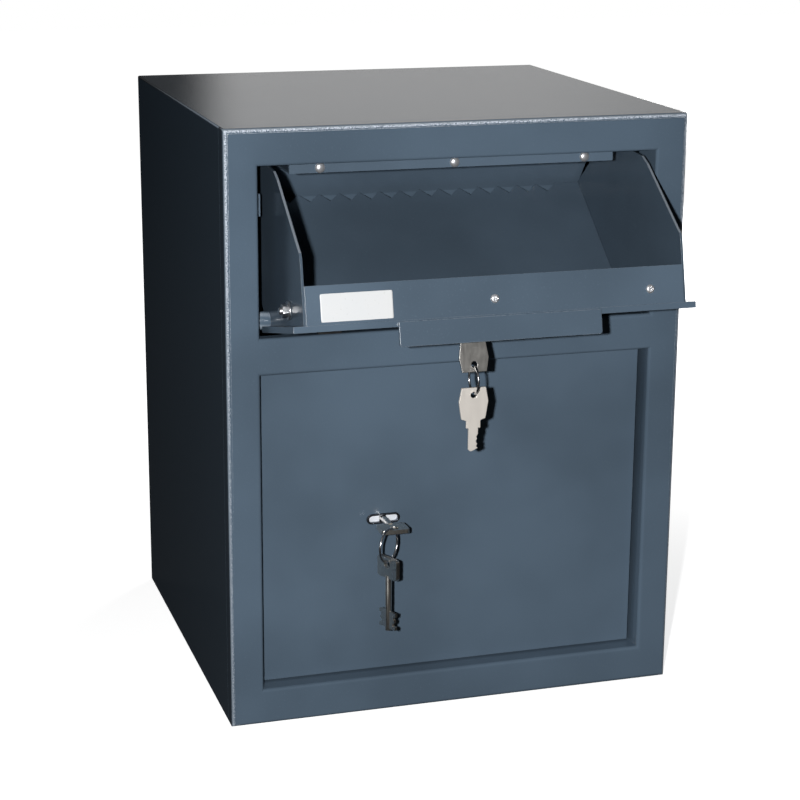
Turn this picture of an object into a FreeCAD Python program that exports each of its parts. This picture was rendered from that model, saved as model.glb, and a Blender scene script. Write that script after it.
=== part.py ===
import FreeCAD, Part
import math
import os
import re
import Sketcher

# Drop safe: a folded steel case with a front frame, a toothed deposit hopper that tips out of the upper
# opening, and a recessed door with a double bitted key lock below it.
# Millimetres. X to the right, Y to the back, Z up. The origin is the middle of the case's base.

doc = FreeCAD.newDocument("drop_safe")
sheet = doc.addObject("Spreadsheet::Sheet", "sizes")

SIZES = {
    # case
    "case_width": 392,
    "case_depth": 370,
    "case_height": 500,
    "case_wall": 3,
    "top_corner": 1.5,
    "anchor_hole": 13,
    "anchor_spacing": 240,
    "floor_anchor_back": 40,
    "wall_anchor_height": 150,
    # front frame
    "frame_sheet": 2.5,
    "frame_skirt": 16,
    "front_round": 4,
    "opening_round": 3,
    "frame_side": 27.5,
    "frame_top": 30,
    "mouth_height": 138,
    "rail_height": 30.5,
    "door_sill": 31,
    "return_depth": 36,
    "sill_return": 11,
    "head_return": 20,
    # hopper pivot and pose
    "pivot_setback": 19.5,
    "pivot_rise": 10.6,
    "pivot_pin": 8,
    "run_clearance": 0.05,
    "open_angle": 77.3,
    # hopper door plate, measured from the pivot with the hopper shut
    "plate_side_gap": 3.75,
    "plate_thickness": 5,
    "plate_gap": 4.5,
    "plate_head_gap": 12,
    "plate_foot": 9,
    "notch_gap": 0.5,
    "notch_top": 10,
    "handle_width": 166,
    "handle_length": 19.5,
    "handle_thickness": 2.5,
    "handle_step": 1,
    "handle_corner": 2,
    # tray
    "tray_sheet": 1.5,
    "cheek_sheet": 2,
    "cheek_gap": 12,
    "cheek_drop": 1,
    "cheek_reach": 51,
    "lip_height": 30,
    "lip_screw": 5,
    "lip_screw_left": -4,
    "lip_screw_spacing": 130,
    "latch_centre": 12,
    "label_width": 57,
    "label_height": 21.5,
    "label_inset": 11.5,
    "label_rise": 2,
    "label_sheet": 0.2,
    "back_slope": 40.2,
    "back_start": 7.9,
    "teeth_radius": 141,
    "tooth_pitch": 18,
    "tooth_depth": 9,
    "tooth_count": 15,
    "tooth_shift": -3,
    "floor_flange": 22,
    # fixed baffle over the hopper
    "strip_inset": 31.5,
    "strip_setback": 8,
    "strip_thickness": 3,
    "strip_drop": 8,
    "strip_shift": -4.5,
    "baffle_sheet": 1.5,
    "baffle_side_gap": 3,
    "baffle_wing": 10,
    "baffle_flat": 75,
    "baffle_gap": 3,
    "baffle_start": 46.5,
    "baffle_step": 14.5,
    "rivet_spacing": 112,
    "rivet_shank": 4,
    "rivet_head": 7.8,
    # fittings of the hopper
    "stud_shoulder": 15,
    "bolt_shank": 6,
    "bolt_washer": 15,
    "bolt_height": 71.4,
    "angle_leg": 20,
    "angle_sheet": 2,
    "stop_drop": 42,
    "stop_length": 18,
    "stop_depth": 3.4,
    "stop_grip": 1.5,
    "touch_gap": 0.1,
    "buffer_spacing": 220,
    "buffer_width": 20,
    "buffer_front": 3,
    "buffer_depth": 6,
    # cam lock and latch bar of the hopper
    "lock_offset": -16.5,
    "lock_drop": 22,
    "lock_bore": 12.4,
    "lock_body": 19,
    "lock_head": 24,
    "lock_head_height": 6.5,
    "lock_tail": 14.5,
    "cam_sheet": 2,
    "cam_arm": 12.73,
    "cam_pin": 5,
    "cam_swing": 45,
    "latch_travel": 18,
    "latch_thickness": 4,
    "latch_width": 10,
    "latch_gap": 0.3,
    "latch_end_gap": 1,
    "slot_clearance": 0.3,
    # flat keys of the cam lock
    "flat_key_sheet": 2.2,
    "flat_bow_width": 24.4,
    "flat_bow_length": 26.8,
    "flat_shoulder_width": 11.8,
    "flat_shoulder_length": 6.2,
    "flat_blade_width": 8,
    "flat_blade_length": 18.9,
    "flat_hole": 5,
    "flat_hole_edge": 6,
    "wire": 2,
    "flat_ring_radius": 11.3,
    "flat_seat": 0.85,
    # door
    "door_recess": 17,
    "door_thickness": 5,
    "door_gap_lock": 1.5,
    "door_gap_hinge": 2.5,
    "door_gap_sill": 1,
    "door_gap_head": 1.5,
    "hinge_inset": 24,
    "hinge_behind": 9.5,
    "hinge_pin": 8,
    "hinge_block": 18,
    "hinge_block_height": 27,
    "dog_height": 20,
    "dog_margin": 59,
    "dog_leg": 8,
    "dog_sheet": 4,
    "dog_reach": 9.5,
    "behind_return": 2,
    "stiffener_width": 30,
    "stiffener_depth": 12,
    "stiffener_flange": 8,
    "stiffener_end_gap": 8,
    "stiffener_left": 10,
    "stiffener_hinge_gap": 15,
    # door lock
    "key_offset": -60.3,
    "insert_length": 29,
    "insert_height": 8.6,
    "slot_length": 25.2,
    "slot_height": 5.8,
    "insert_proud": 0.8,
    "case_left": 47.7,
    "case_right": 22.3,
    "case_half_height": 40,
    "case_sheet": 1.5,
    "case_box_depth": 28,
    "bolt_travel": 14,
    "bolt_height_bar": 20,
    "bolt_bar_depth": 8,
    "bolt_inset": 5.5,
    "square_bolt": 14,
    "bolt_margin": 55.25,
    "carrier_width": 26,
    "carrier_sheet": 3,
    "guide_wall": 3.7,
    # double bitted key
    "key_shaft": 5.4,
    "key_shaft_length": 45.9,
    "bow_width": 24,
    "bow_length": 17.8,
    "bow_thickness": 3.6,
    "key_sheet": 2.4,
    "bit_width": 20,
    "bit_length": 14.9,
    "bit_tip": 2,
    "bow_hole": 7.4,
    "bow_hole_edge": 5.5,
    "bow_front": 19.5,
    "ring_radius": 14,
    "ring_yaw": 137,
    "ring_lean": 40,
    "spare_seat": 1.9,
    "spare_turn": 20,
}

for row, (alias, number) in enumerate(SIZES.items(), start=1):
    sheet.set("A%d" % row, alias)
    sheet.set("B%d" % row, str(number))
    sheet.setAlias("B%d" % row, alias)
doc.recompute()

WORD = re.compile(r"[a-z_]{3,}[a-z]")


def bound(expression):
    """The expression with every size's name pointing at its cell."""
    return WORD.sub(lambda m: "sizes." + m.group(0) if m.group(0) in SIZES else m.group(0), str(expression))


def size(alias):
    """The number in one cell of the sheet."""
    return float(sheet.get(alias))


def value(expression):
    """The number that an expression of sizes has now."""
    return float(sheet.evalExpression(bound(expression)))


NODES = []


def new_body(name):
    """An empty body whose label is the sub-part's name."""
    body = doc.addObject("PartDesign::Body", name)
    body.Label = name
    body.AllowCompound = True
    NODES.append(body)
    return body


def base_plane(body, role):
    for feature in body.Origin.OriginFeatures:
        if feature.Role == role:
            return feature
    raise ValueError(role)


NORMAL_SIGN = {"XY_Plane": 1, "XZ_Plane": -1, "YZ_Plane": 1}


def draw(body, plane, name, level, outline=(), circles=()):
    """A sketch on a base plane, moved to a level along the plane's own axis.

    outline lists a loop's corners as pairs of expressions, circles lists centre, centre, diameter.
    """
    sketch = body.newObject("Sketcher::SketchObject", name)
    sketch.AttachmentSupport = [(base_plane(body, plane), "")]
    sketch.MapMode = "FlatFace"
    sign = "" if NORMAL_SIGN[plane] > 0 else "-"
    sketch.setExpression("AttachmentOffset.Base.z", bound("%s(%s)" % (sign, level)))
    corners = len(outline)
    for i in range(corners):
        start = 2 * math.pi * i / corners
        stop = 2 * math.pi * (i + 1) / corners
        first = FreeCAD.Vector(100 * math.cos(start), 100 * math.sin(start), 0)
        last = FreeCAD.Vector(100 * math.cos(stop), 100 * math.sin(stop), 0)
        sketch.addGeometry(Part.LineSegment(first, last), False)
    for i in range(corners):
        sketch.addConstraint(Sketcher.Constraint("Coincident", i, 2, (i + 1) % corners, 1))
    for i, (across, up) in enumerate(outline):
        for kind, expression in (("DistanceX", across), ("DistanceY", up)):
            index = sketch.addConstraint(Sketcher.Constraint(kind, -1, 1, i, 1, 1.0))
            sketch.setExpression("Constraints[%d]" % index, bound(expression))
    for i, (across, up, diameter) in enumerate(circles, start=corners):
        centre = FreeCAD.Vector(10 * i, 10, 0)
        sketch.addGeometry(Part.Circle(centre, FreeCAD.Vector(0, 0, 1), 1.0), False)
        for kind, expression in (("DistanceX", across), ("DistanceY", up)):
            index = sketch.addConstraint(Sketcher.Constraint(kind, -1, 1, i, 3, 1.0))
            sketch.setExpression("Constraints[%d]" % index, bound(expression))
        index = sketch.addConstraint(Sketcher.Constraint("Diameter", i, 1.0))
        sketch.setExpression("Constraints[%d]" % index, bound(diameter))
    return sketch


def pad(body, plane, name, low, thickness, outline=(), circles=()):
    """Material from low to low + thickness along the plane's axis in the body's frame."""
    level = "%s + %s" % (low, thickness) if plane == "XZ_Plane" else low
    feature = body.newObject("PartDesign::Pad", name)
    feature.Profile = draw(body, plane, name + "_sketch", level, outline, circles)
    feature.setExpression("Length", bound(thickness))
    body.Tip = feature
    return feature


def cut(body, plane, name, low, thickness, outline=(), circles=()):
    """A pocket from low to low + thickness along the plane's axis in the body's frame."""
    level = low if plane == "XZ_Plane" else "%s + %s" % (low, thickness)
    feature = body.newObject("PartDesign::Pocket", name)
    feature.Profile = draw(body, plane, name + "_sketch", level, outline, circles)
    feature.setExpression("Length", bound(thickness))
    body.Tip = feature
    return feature


def turn(body, name, outline, axis="V_Axis"):
    """A turned solid: the outline in the XZ plane about its vertical or its horizontal axis."""
    feature = body.newObject("PartDesign::Revolution", name)
    sketch = draw(body, "XZ_Plane", name + "_sketch", "0", outline)
    feature.Profile = sketch
    feature.ReferenceAxis = (sketch, [axis])
    feature.Angle = 360
    body.Tip = feature
    return feature


def mirror(body, features, plane="YZ_Plane"):
    """The features again on the other side of a base plane."""
    feature = body.newObject("PartDesign::Mirrored", "other_side")
    feature.Originals = features
    feature.MirrorPlane = (base_plane(body, plane), [""])
    body.Tip = feature
    return feature


def repeat(body, features, sketch_axis, spacing, count):
    """The features in a row: a sketch axis, the step between copies and how many."""
    feature = body.newObject("PartDesign::LinearPattern", "row")
    feature.Originals = features
    feature.Direction = (features[0].Profile[0], [sketch_axis])
    feature.setExpression("Length", bound("(%s) * (%s - 1)" % (spacing, count)))
    feature.setExpression("Occurrences", bound(count))
    body.Tip = feature
    return feature


def round_edges(body, name, radius, wanted):
    """A fillet on the edges of the body that the test picks."""
    doc.recompute()
    base = body.Tip
    names = ["Edge%d" % (i + 1) for i, edge in enumerate(base.Shape.Edges) if wanted(edge.BoundBox)]
    if not names:
        raise ValueError("no edge to round in " + body.Label)
    feature = body.newObject("PartDesign::Fillet", name)
    feature.Base = (base, names)
    feature.setExpression("Radius", bound(radius))
    body.Tip = feature
    return feature


def box(x_low, x_high, y_low, y_high):
    """A rectangle's four corners from two pairs of expressions."""
    return [(x_low, y_low), (x_high, y_low), (x_high, y_high), (x_low, y_high)]


def near(value, target):
    return abs(value - target) < 0.01


X_AXIS = FreeCAD.Vector(1, 0, 0)
Y_AXIS = FreeCAD.Vector(0, 1, 0)
Z_AXIS = FreeCAD.Vector(0, 0, 1)


def spot(x, y, z, axis=Z_AXIS, angle=0):
    return FreeCAD.Placement(FreeCAD.Vector(x, y, z), FreeCAD.Rotation(axis, angle))


# Places that several pieces share, as expressions.
HALF_OPEN = "(case_width / 2 - frame_side)"
JAMB = "(case_width / 2 - frame_side + frame_sheet)"
HEAD = "(case_height - frame_top)"
SILL = "(case_height - frame_top - mouth_height)"
DOOR_HEAD = "(case_height - frame_top - mouth_height - rail_height)"
PIVOT_Z = "(case_height - frame_top - mouth_height + pivot_rise)"
HALF_PLATE = "(case_width / 2 - frame_side - plate_side_gap)"
HALF_STRIP = "(case_width / 2 - frame_side - strip_inset)"
PLATE_TOP = "(mouth_height - pivot_rise - plate_head_gap)"
PLATE_IN = "-plate_gap"
PLATE_OUT = "-(plate_gap + plate_thickness)"
CHEEK_OUT = "(case_width / 2 - frame_side - cheek_gap)"
CHEEK_IN = "(case_width / 2 - frame_side - cheek_gap - cheek_sheet)"
LIP_Z = "(%s - tray_sheet)" % PLATE_TOP
LATCH_Y = "(latch_centre - plate_gap)"
LATCH_TOP = "(%s - tray_sheet - latch_gap)" % PLATE_TOP
LATCH_LOW = "(%s - tray_sheet - latch_gap - latch_thickness)" % PLATE_TOP
LOCK_Z = "(%s - lock_drop)" % PLATE_TOP
LOCK_FACE = "(plate_gap + plate_thickness + lock_head_height)"
DOOR_IN = "(door_recess + door_thickness)"
DOOR_LEFT = "(-%s + door_gap_lock)" % HALF_OPEN
DOOR_RIGHT = "(%s - door_gap_hinge)" % HALF_OPEN
DOOR_LOW = "(door_sill + door_gap_sill)"
DOOR_TOP = "(%s - door_gap_head)" % DOOR_HEAD
HINGE_X = "(%s - door_gap_hinge - hinge_inset)" % HALF_OPEN
HINGE_Y = "(door_recess + hinge_behind)"
BOLT_Y = "(return_depth + behind_return)"
CASE_BACK = "(door_recess + door_thickness + case_box_depth)"
KEY_Z = "((door_sill + %s) / 2)" % DOOR_HEAD
BOLT_RISE = "((%s - door_sill) / 2 - bolt_margin)" % DOOR_HEAD
BOLT_END = "(case_width / 2 - frame_side - bolt_inset)"

# Frames that pieces are drawn in.
FRONT = spot(0, -size("case_depth") / 2, 0)
STRIP = spot(size("strip_shift"), 0, 0)
HOPPER = spot(0, -size("case_depth") / 2 + size("pivot_setback"), value(PIVOT_Z), X_AXIS, size("open_angle"))


def make_case_wrap():
    """Top, floor and sides: one folded sheet behind the front frame."""
    body = new_body("case_wrap")
    length = "case_depth - frame_skirt"
    pad(body, "XZ_Plane", "tube", "frame_skirt", length, box("-case_width / 2", "case_width / 2", "0", "case_height"))
    half, top = size("case_width") / 2, size("case_height")
    round_edges(
        body,
        "top_folds",
        "top_corner",
        lambda b: near(b.XLength, 0) and near(b.ZLength, 0) and near(b.ZMin, top) and near(abs(b.XMin), half),
    )
    inner = box("-case_width / 2 + case_wall", "case_width / 2 - case_wall", "case_wall", "case_height - case_wall")
    cut(body, "XZ_Plane", "hollow", "frame_skirt", length, inner)
    holes = [
        ("%s * anchor_spacing / 2" % side, "case_depth / 2 + floor_anchor_back", "anchor_hole") for side in (-1, 1)
    ]
    cut(body, "XY_Plane", "floor_anchors", "0", "case_wall", circles=holes)
    body.Placement = FRONT


def make_back_panel():
    """The rear wall, welded inside the wrap."""
    body = new_body("back_panel")
    outline = box("-case_width / 2 + case_wall", "case_width / 2 - case_wall", "case_wall", "case_height - case_wall")
    pad(body, "XZ_Plane", "panel", "case_depth - case_wall", "case_wall", outline)
    holes = [("%s * anchor_spacing / 2" % side, "wall_anchor_height", "anchor_hole") for side in (-1, 1)]
    cut(body, "XZ_Plane", "wall_anchors", "case_depth - case_wall", "case_wall", circles=holes)
    body.Placement = FRONT


def make_front_frame():
    """The pressed front: a face with two openings, an outer skirt and folded returns inside."""
    body = new_body("front_frame")
    pad(body, "XZ_Plane", "face", "0", "frame_skirt", box("-case_width / 2", "case_width / 2", "0", "case_height"))
    half, top = size("case_width") / 2, size("case_height")
    round_edges(
        body,
        "top_corners",
        "top_corner",
        lambda b: near(b.XLength, 0) and near(b.ZLength, 0) and near(b.ZMin, top) and near(abs(b.XMin), half),
    )
    round_edges(body, "front_edges", "front_round", lambda b: near(b.YMin, 0) and near(b.YMax, 0))
    wall = "frame_sheet"
    inner = box("-case_width / 2 + " + wall, "case_width / 2 - " + wall, wall, "case_height - " + wall)
    cut(body, "XZ_Plane", "inside", wall, "frame_skirt - frame_sheet", inner)
    for name, side in (("left_jamb", "-1"), ("right_jamb", "1")):
        low, high = "%s * %s" % (side, HALF_OPEN), "%s * %s" % (side, JAMB)
        outline = box(low, high, "door_sill - frame_sheet", HEAD + " + frame_sheet")
        pad(body, "XZ_Plane", name, wall, "return_depth - frame_sheet", outline)
    ledges = (
        ("door_sill_ledge", "door_sill - frame_sheet", "door_sill", "return_depth"),
        ("door_head_ledge", DOOR_HEAD, DOOR_HEAD + " + frame_sheet", "return_depth"),
        ("hopper_sill_ledge", SILL + " - frame_sheet", SILL, "sill_return"),
        ("hopper_head_ledge", HEAD, HEAD + " + frame_sheet", "head_return"),
    )
    for name, low, high, depth in ledges:
        outline = box("-" + HALF_OPEN, HALF_OPEN, low, high)
        pad(body, "XZ_Plane", name, wall, depth + " - frame_sheet", outline)
    for name, low, high in (("door_opening", "door_sill", DOOR_HEAD), ("hopper_opening", SILL, HEAD)):
        cut(body, "XZ_Plane", name, "0", wall, box("-" + HALF_OPEN, HALF_OPEN, low, high))
    side = value(HALF_OPEN)
    levels = [value(level) for level in ("door_sill", DOOR_HEAD, SILL, HEAD)]

    def opening_edge(b):
        upright = near(b.XLength, 0) and near(abs(b.XMin), side)
        level = near(b.ZLength, 0) and any(near(b.ZMin, z) for z in levels)
        return near(b.YMin, 0) and near(b.YMax, 0) and (upright or level)

    round_edges(body, "opening_edges", "min(opening_round; 2 * frame_sheet)", opening_edge)
    through = [("pivot_setback", PIVOT_Z, "pivot_pin + 2 * run_clearance")]
    cut(body, "YZ_Plane", "pivot_holes", "-" + JAMB, "2 * " + JAMB, circles=through)
    window = box(
        "pivot_setback + %s - latch_width / 2 - 2 * slot_clearance" % LATCH_Y,
        "pivot_setback + %s + latch_width / 2 + 2 * slot_clearance" % LATCH_Y,
        "%s + %s - 2 * slot_clearance" % (PIVOT_Z, LATCH_LOW),
        "%s + %s + 2 * slot_clearance" % (PIVOT_Z, LATCH_TOP),
    )
    cut(body, "YZ_Plane", "latch_window", HALF_OPEN, "frame_sheet", window)
    pins = [(HINGE_X, HINGE_Y, "hinge_pin")]
    cut(body, "XY_Plane", "hinge_hole_low", "door_sill - frame_sheet", "frame_sheet", circles=pins)
    cut(body, "XY_Plane", "hinge_hole_top", DOOR_HEAD, "frame_sheet", circles=pins)
    body.Placement = FRONT


def make_baffle_strip():
    """Bar under the head of the hopper opening that carries the baffle."""
    body = new_body("baffle_strip")
    outline = box("-" + HALF_STRIP, HALF_STRIP, HEAD + " - strip_drop", HEAD)
    pad(body, "XZ_Plane", "bar", "strip_setback", "strip_thickness", outline)
    height = HEAD + " - strip_drop / 2"
    holes = [("%s * rivet_spacing" % k, height, "rivet_shank") for k in (-1, 0, 1)]
    cut(body, "XZ_Plane", "rivet_holes", "strip_setback", "strip_thickness", circles=holes)
    body.Placement = FRONT * STRIP


def make_upper_baffle():
    """Fixed sheet that follows the sweep of the hopper's toothed edge."""
    body = new_body("upper_baffle")
    back = "strip_setback + strip_thickness"
    foot = HEAD + " - strip_drop"
    inside = "(teeth_radius + baffle_gap) / cos(baffle_step / 2)"
    outside = "(teeth_radius + baffle_gap + baffle_sheet) / cos(baffle_step / 2)"

    def knee(radius, k):
        angle = "(baffle_start - %d * baffle_step)" % k
        return (
            "pivot_setback + %s * cos(%s)" % (radius, angle),
            "%s + %s * sin(%s)" % (PIVOT_Z, radius, angle),
        )

    top = HEAD + " - touch_gap"
    flange = box(back, back + " + baffle_sheet", foot, top)
    flat = [
        (back, foot),
        ("baffle_flat", foot),
        knee(inside, 0),
        knee(outside, 0),
        ("baffle_flat", foot + " + baffle_sheet"),
        (back, foot + " + baffle_sheet"),
    ]
    curve = [knee(inside, k) for k in range(4)] + [knee(outside, k) for k in reversed(range(4))]
    half_curve = "(%s - baffle_side_gap + baffle_wing)" % CHEEK_IN
    pad(body, "YZ_Plane", "flange", "-" + HALF_STRIP, "2 * " + HALF_STRIP, flange)
    pad(body, "YZ_Plane", "flat", "-" + HALF_STRIP, "2 * " + HALF_STRIP, flat)
    pad(body, "YZ_Plane", "curve", "-" + half_curve, "2 * " + half_curve, curve)
    height = HEAD + " - strip_drop / 2"
    holes = [("%s * rivet_spacing" % k, height, "rivet_shank") for k in (-1, 0, 1)]
    cut(body, "XZ_Plane", "rivet_holes", back, "baffle_sheet", circles=holes)
    body.Placement = FRONT * STRIP


def make_baffle_rivets():
    """Three dome headed rivets through the strip and the baffle's flange."""
    body = new_body("baffle_rivets")
    grip = "(strip_thickness + baffle_sheet)"
    outline = [
        ("0", "-%s - 1.5" % grip),
        ("rivet_shank * 0.6", "-%s - 1.5" % grip),
        ("rivet_shank * 0.6", "-" + grip),
        ("rivet_shank / 2", "-" + grip),
        ("rivet_shank / 2", "0"),
        ("rivet_head / 2", "0"),
        ("rivet_head * 0.44", "rivet_head * 0.14"),
        ("rivet_head * 0.3", "rivet_head * 0.24"),
        ("0", "rivet_head * 0.31"),
    ]
    first = turn(body, "rivet", outline)
    repeat(body, [first], "H_Axis", "rivet_spacing", "3")
    across = size("strip_shift") - size("rivet_spacing")
    height = value(HEAD) - size("strip_drop") / 2
    body.Placement = spot(across, -size("case_depth") / 2 + size("strip_setback"), height, X_AXIS, 90)


def make_hopper_stops():
    """Two small bars on the jambs that the ends of the shut hopper plate rest on."""
    body = new_body("hopper_stops")
    front = "pivot_setback - plate_gap + touch_gap"
    low = HEAD + " - stop_drop"
    outline = box(HALF_PLATE + " - stop_grip", HALF_OPEN, low, low + " + stop_length")
    bar = pad(body, "XZ_Plane", "bar", front, "stop_depth", outline)
    mirror(body, [bar])
    body.Placement = FRONT


def make_hopper_buffers():
    """Two rubber pads on the sill that the open hopper plate leans on."""
    body = new_body("hopper_buffers")

    def top(y):
        reach = "(pivot_setback - %s)" % y
        lean = "(%s * cos(open_angle) - plate_gap - plate_thickness) / sin(open_angle)" % reach
        return "%s + %s - touch_gap" % (PIVOT_Z, lean)

    rear = "(buffer_front + buffer_depth)"
    outline = [("buffer_front", SILL), (rear, SILL), (rear, top(rear)), ("buffer_front", top("buffer_front"))]
    first = pad(body, "YZ_Plane", "pad", "buffer_spacing / 2 - buffer_width / 2", "buffer_width", outline)
    mirror(body, [first])
    body.Placement = FRONT


def make_door_pivot_pins():
    """Two steel pins fixed in the ledges, on which the door turns."""
    body = new_body("door_pivot_pins")
    grip = "hinge_block_height - 4"
    outline = [
        ("0", "-frame_sheet - 4.5"),
        ("hinge_pin * 0.9", "-frame_sheet - 4.5"),
        ("hinge_pin * 0.9", "-frame_sheet"),
        ("hinge_pin / 2", "-frame_sheet"),
        ("hinge_pin / 2", "0"),
        ("hinge_pin * 0.75", "0"),
        ("hinge_pin * 0.75", "door_gap_sill - touch_gap"),
        ("hinge_pin / 2", "door_gap_sill - touch_gap"),
        ("hinge_pin / 2", grip),
        ("0", grip),
    ]
    low = turn(body, "pin", outline)
    body.Tip = low
    middle = body.newObject("PartDesign::Plane", "middle")
    middle.AttachmentSupport = [(base_plane(body, "XY_Plane"), "")]
    middle.MapMode = "FlatFace"
    middle.setExpression("AttachmentOffset.Base.z", bound("(%s - door_sill) / 2" % DOOR_HEAD))
    doc.recompute()
    other = body.newObject("PartDesign::Mirrored", "upper_pin")
    other.Originals = [low]
    other.MirrorPlane = (middle, [""])
    body.Tip = other
    x = value(HINGE_X)
    y = -size("case_depth") / 2 + value(HINGE_Y)
    body.Placement = spot(x, y, size("door_sill"))


def make_hopper_plate():
    """The thick steel door of the hopper, with notched lower corners beside the pivots."""
    body = new_body("hopper_plate")
    half, waist = HALF_PLATE, "(%s - notch_gap)" % CHEEK_OUT
    outline = [
        ("-" + waist, "-plate_foot"),
        (waist, "-plate_foot"),
        (waist, "notch_top"),
        (half, "notch_top"),
        (half, PLATE_TOP),
        ("-" + half, PLATE_TOP),
        ("-" + half, "notch_top"),
        ("-" + waist, "notch_top"),
    ]
    pad(body, "XZ_Plane", "plate", PLATE_OUT, "plate_thickness", outline)
    hole = [("lock_offset", LOCK_Z, "lock_body")]
    cut(body, "XZ_Plane", "lock_hole", PLATE_OUT, "plate_thickness", circles=hole)
    body.Placement = HOPPER


def make_handle_flange():
    """Pull flange welded along the plate's top edge."""
    body = new_body("handle_flange")
    near_edge = PLATE_IN + " - handle_step"
    far_edge = near_edge + " - handle_length"
    outline = box("-handle_width / 2", "handle_width / 2", far_edge, near_edge)
    pad(body, "XY_Plane", "flange", PLATE_TOP, "handle_thickness", outline)
    front = -size("plate_gap") - size("handle_step") - size("handle_length")
    round_edges(
        body,
        "corners",
        "handle_corner",
        lambda b: near(b.XLength, 0) and near(b.YLength, 0) and near(b.YMin, front),
    )
    body.Placement = HOPPER


def make_lip_strip():
    """Front wall of the tray, square to the plate at its top edge."""
    body = new_body("lip_strip")
    outline = box("-" + CHEEK_IN, CHEEK_IN, PLATE_IN, PLATE_IN + " + lip_height")
    pad(body, "XY_Plane", "strip", LIP_Z, "tray_sheet", outline)
    holes = [("lip_screw_left + %d * lip_screw_spacing" % k, LATCH_Y, "lip_screw") for k in (0, 1)]
    cut(body, "XY_Plane", "screw_holes", LIP_Z, "tray_sheet", circles=holes)
    body.Placement = HOPPER


def make_lip_screws():
    """Two pan head screws that guide the latch bar under the lip."""
    body = new_body("lip_screws")
    reach = "(tray_sheet + latch_gap + latch_thickness + 6)"
    outline = [
        ("0", "-" + reach),
        ("lip_screw / 2", "-" + reach),
        ("lip_screw / 2", "0"),
        ("lip_screw * 0.72", "0"),
        ("lip_screw * 0.72", "0.8"),
        ("lip_screw * 0.56", "1.6"),
        ("lip_screw * 0.3", "2"),
        ("0", "2"),
    ]
    first = turn(body, "screw", outline)
    repeat(body, [first], "H_Axis", "lip_screw_spacing", "2")
    y = size("latch_centre") - size("plate_gap")
    body.Placement = HOPPER * spot(size("lip_screw_left"), y, value(PLATE_TOP))


def hexagon(x, y, across_flats):
    """Corners of a nut's hexagon round a centre, two flats facing Y."""
    corner = "(%s / sqrt(3))" % across_flats
    return [
        ("%s + %s * cos(%d)" % (x, corner, 60 * k), "%s + %s * sin(%d)" % (y, corner, 60 * k)) for k in range(6)
    ]


def make_lip_nuts():
    """Nuts under the latch bar on the lip screws."""
    body = new_body("lip_nuts")
    level = LATCH_LOW + " - latch_gap - lip_screw * 0.8"
    outline = hexagon("0", LATCH_Y, "lip_screw * 1.6")
    first = pad(body, "XY_Plane", "nut", level, "lip_screw * 0.8", outline)
    first.Profile[0].setExpression("AttachmentOffset.Base.x", bound("lip_screw_left"))
    repeat(body, [first], "H_Axis", "lip_screw_spacing", "2")
    bores = [("lip_screw_left + %d * lip_screw_spacing" % k, LATCH_Y, "lip_screw") for k in (0, 1)]
    cut(body, "XY_Plane", "bores", level, "lip_screw * 0.8", circles=bores)
    body.Placement = HOPPER


def make_blank_label():
    """A plain sticker on the lip."""
    body = new_body("blank_label")
    low = PLATE_IN + " + label_rise"
    left = "(-%s + label_inset)" % CHEEK_IN
    outline = box(left, left + " + label_width", low, low + " + label_height")
    pad(body, "XY_Plane", "sticker", PLATE_TOP, "label_sheet", outline)
    body.Placement = HOPPER


def make_cheek(name, low):
    """One side wall of the tray, from the lip round to the toothed edge."""
    body = new_body(name)
    slope = "tan(back_slope)"
    toe = "-%s * %s - back_start - tray_sheet / cos(back_slope)" % (PLATE_IN, slope)
    tip_y = "(teeth_radius * 0.735)"
    reach = "(cheek_reach - plate_gap)"
    outline = [
        (PLATE_IN, toe),
        (tip_y, "-%s * %s - back_start - tray_sheet / cos(back_slope)" % (tip_y, slope)),
        ("teeth_radius * 0.894", "-teeth_radius * 0.355"),
        ("teeth_radius * 0.88", "teeth_radius * 0.14"),
        ("teeth_radius * 0.846", "teeth_radius * 0.25"),
        ("teeth_radius * 0.824", "teeth_radius * 0.33"),
        ("teeth_radius * 0.773", "teeth_radius * 0.4"),
        (reach + " + 7.5", PLATE_TOP + " - cheek_drop - 5.5"),
        (reach + " + 4", PLATE_TOP + " - cheek_drop - 1.6"),
        (reach, PLATE_TOP + " - cheek_drop"),
        (PLATE_IN, PLATE_TOP + " - cheek_drop"),
    ]
    pad(body, "YZ_Plane", "wall", low, "cheek_sheet", outline)
    bolt = [(LATCH_Y, "bolt_height", "bolt_shank")]
    cut(body, "YZ_Plane", "bolt_hole", low, "cheek_sheet", circles=bolt)
    body.Placement = HOPPER
    return body


def make_cheeks():
    make_cheek("left_cheek", "-" + CHEEK_OUT)
    right = make_cheek("right_cheek", CHEEK_IN)
    window = box(
        LATCH_Y + " - latch_width / 2 - 2 * slot_clearance",
        LATCH_Y + " + latch_width / 2 + 2 * slot_clearance",
        LATCH_LOW + " - 2 * slot_clearance",
        LATCH_TOP + " + slot_clearance",
    )
    cut(right, "YZ_Plane", "latch_window", CHEEK_IN, "cheek_sheet", window)


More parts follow.
